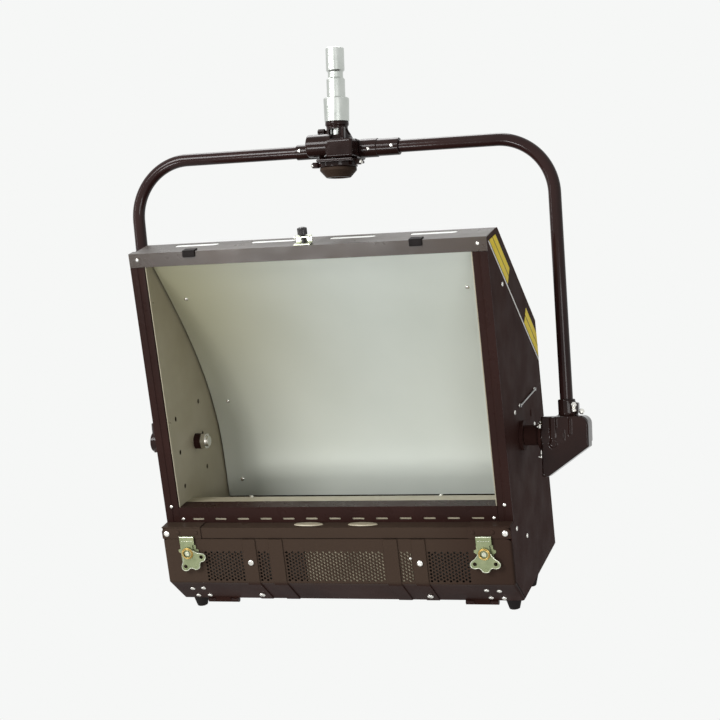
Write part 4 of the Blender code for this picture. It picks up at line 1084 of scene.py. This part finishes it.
def build_pan_casing():
    """Gear casing in the middle of the bar: a body, a front block, a barrel and a neck."""
    neck = turned_shape([(0, 478.1), (17.3, 478.1), (18, 477.2), (18, 472.6), (16.4, 471.6), (16.2, 467),
                         (20.5, 459), (24, 452), (24, 440), (0, 440)], 48)
    parts = [
        block_shape((-24, -22, 420), (37, 24, 449.5), 3),
        block_shape((-6, -41, 420.8), (35.8, 12, 448.6), 3),
        bar_shape((-37.5, -24, 441), (0, -24, 441), 17, 48),
        bar_shape((-39, -24, 441), (-36, -24, 441), 14.6, 48),
        neck,
        block_shape((14, -24.5, 448), (18, -14, 468), 1.4),
    ]
    shape = melted(merge(*parts), 2)
    for cutter in (bar_shape((0, 0, 440), (0, 0, 485), 10.3, 40),
                   block_shape((-8, -40, 457), (8, 40, 467), 1.5),
                   block_shape((-40, -8, 457), (40, 8, 467), 1.5)):
        shape = carved(shape, cutter)
    place_piece("pan_gear_case", shape, CAST_ENAMEL, "yoke", "pan_casing", crisp=60)
    base = block_shape((-22, -39, 415), (35, 22, 419.7), 1.4)
    collar = turned_shape([(0, 417.5), (26.5, 417.5), (29.5, 415.2), (29.5, 411), (28.6, 409.3), (6.3, 409.3),
                           (6.3, 410.5), (0, 410.5)], 56)
    lugs = [bar_shape((-31, -14, 408.6), (-31, -14, 417), 5.2, 20),
            bar_shape((36.5, -16, 410.4), (36.5, -16, 419), 5.2, 20)]
    place_piece("pan_base", merge(base, collar, *lugs), CAST_ENAMEL, "yoke", "pan_base_plate")
    set_screws("yoke_screws", YOKE_SCREWS, "yoke")
    grip = set_at(knurled(5.2, 11, 30), at(-16, -9.5, 462.5, -90, "Y"))
    place_piece("neck_screw", grip, CAST_ENAMEL, "yoke")


def knurled(radius, length, teeth):
    """A round grip with straight knurling, standing on Z."""
    rings = []
    for height, scale in ((0, 0.82), (0.8, 1), (length - 0.8, 1), (length, 0.82)):
        reach = (radius * scale * 0.93, radius * scale)
        rings.append([(reach[k % 2] * math.cos(a), reach[k % 2] * math.sin(a), height)
                      for k, a in enumerate(turns(teeth * 2))])
    return loft(rings)


def build_catch_knob():
    """The spring bolt that holds a frame in, with a knurled head."""
    stem = turned_shape([(0, 306), (2, 306), (3, 308), (3, 334), (0, 334)], 24)
    cap = turned_shape([(0, 343.3), (4.4, 343.3), (4, 344.2), (0, 344.6)], 24)
    grip = set_at(knurled(7, 10.4, 24), at(0, 0, 333.2))
    bolt = set_at(merge(grip, stem, cap), at(0, CATCH_DEPTH, 0))
    place_piece("catch_bolt", bolt, PHENOLIC, "catch", "catch_knob")


stand_camera()
make_floor()
light_room()
dress_cad()
bend_tubes()
roll_reflector()
build_door()
punch_zones()
build_latches()
set_screws("head_screws", HEAD_SCREWS, "head")
set_screws("reflector_screws", reflector_screws(), "head")
set_screws("door_screws", DOOR_SCREWS, "door")
dress_side()
dress_front()
build_catch_knob()
build_tilt_casing()
build_pan_casing()
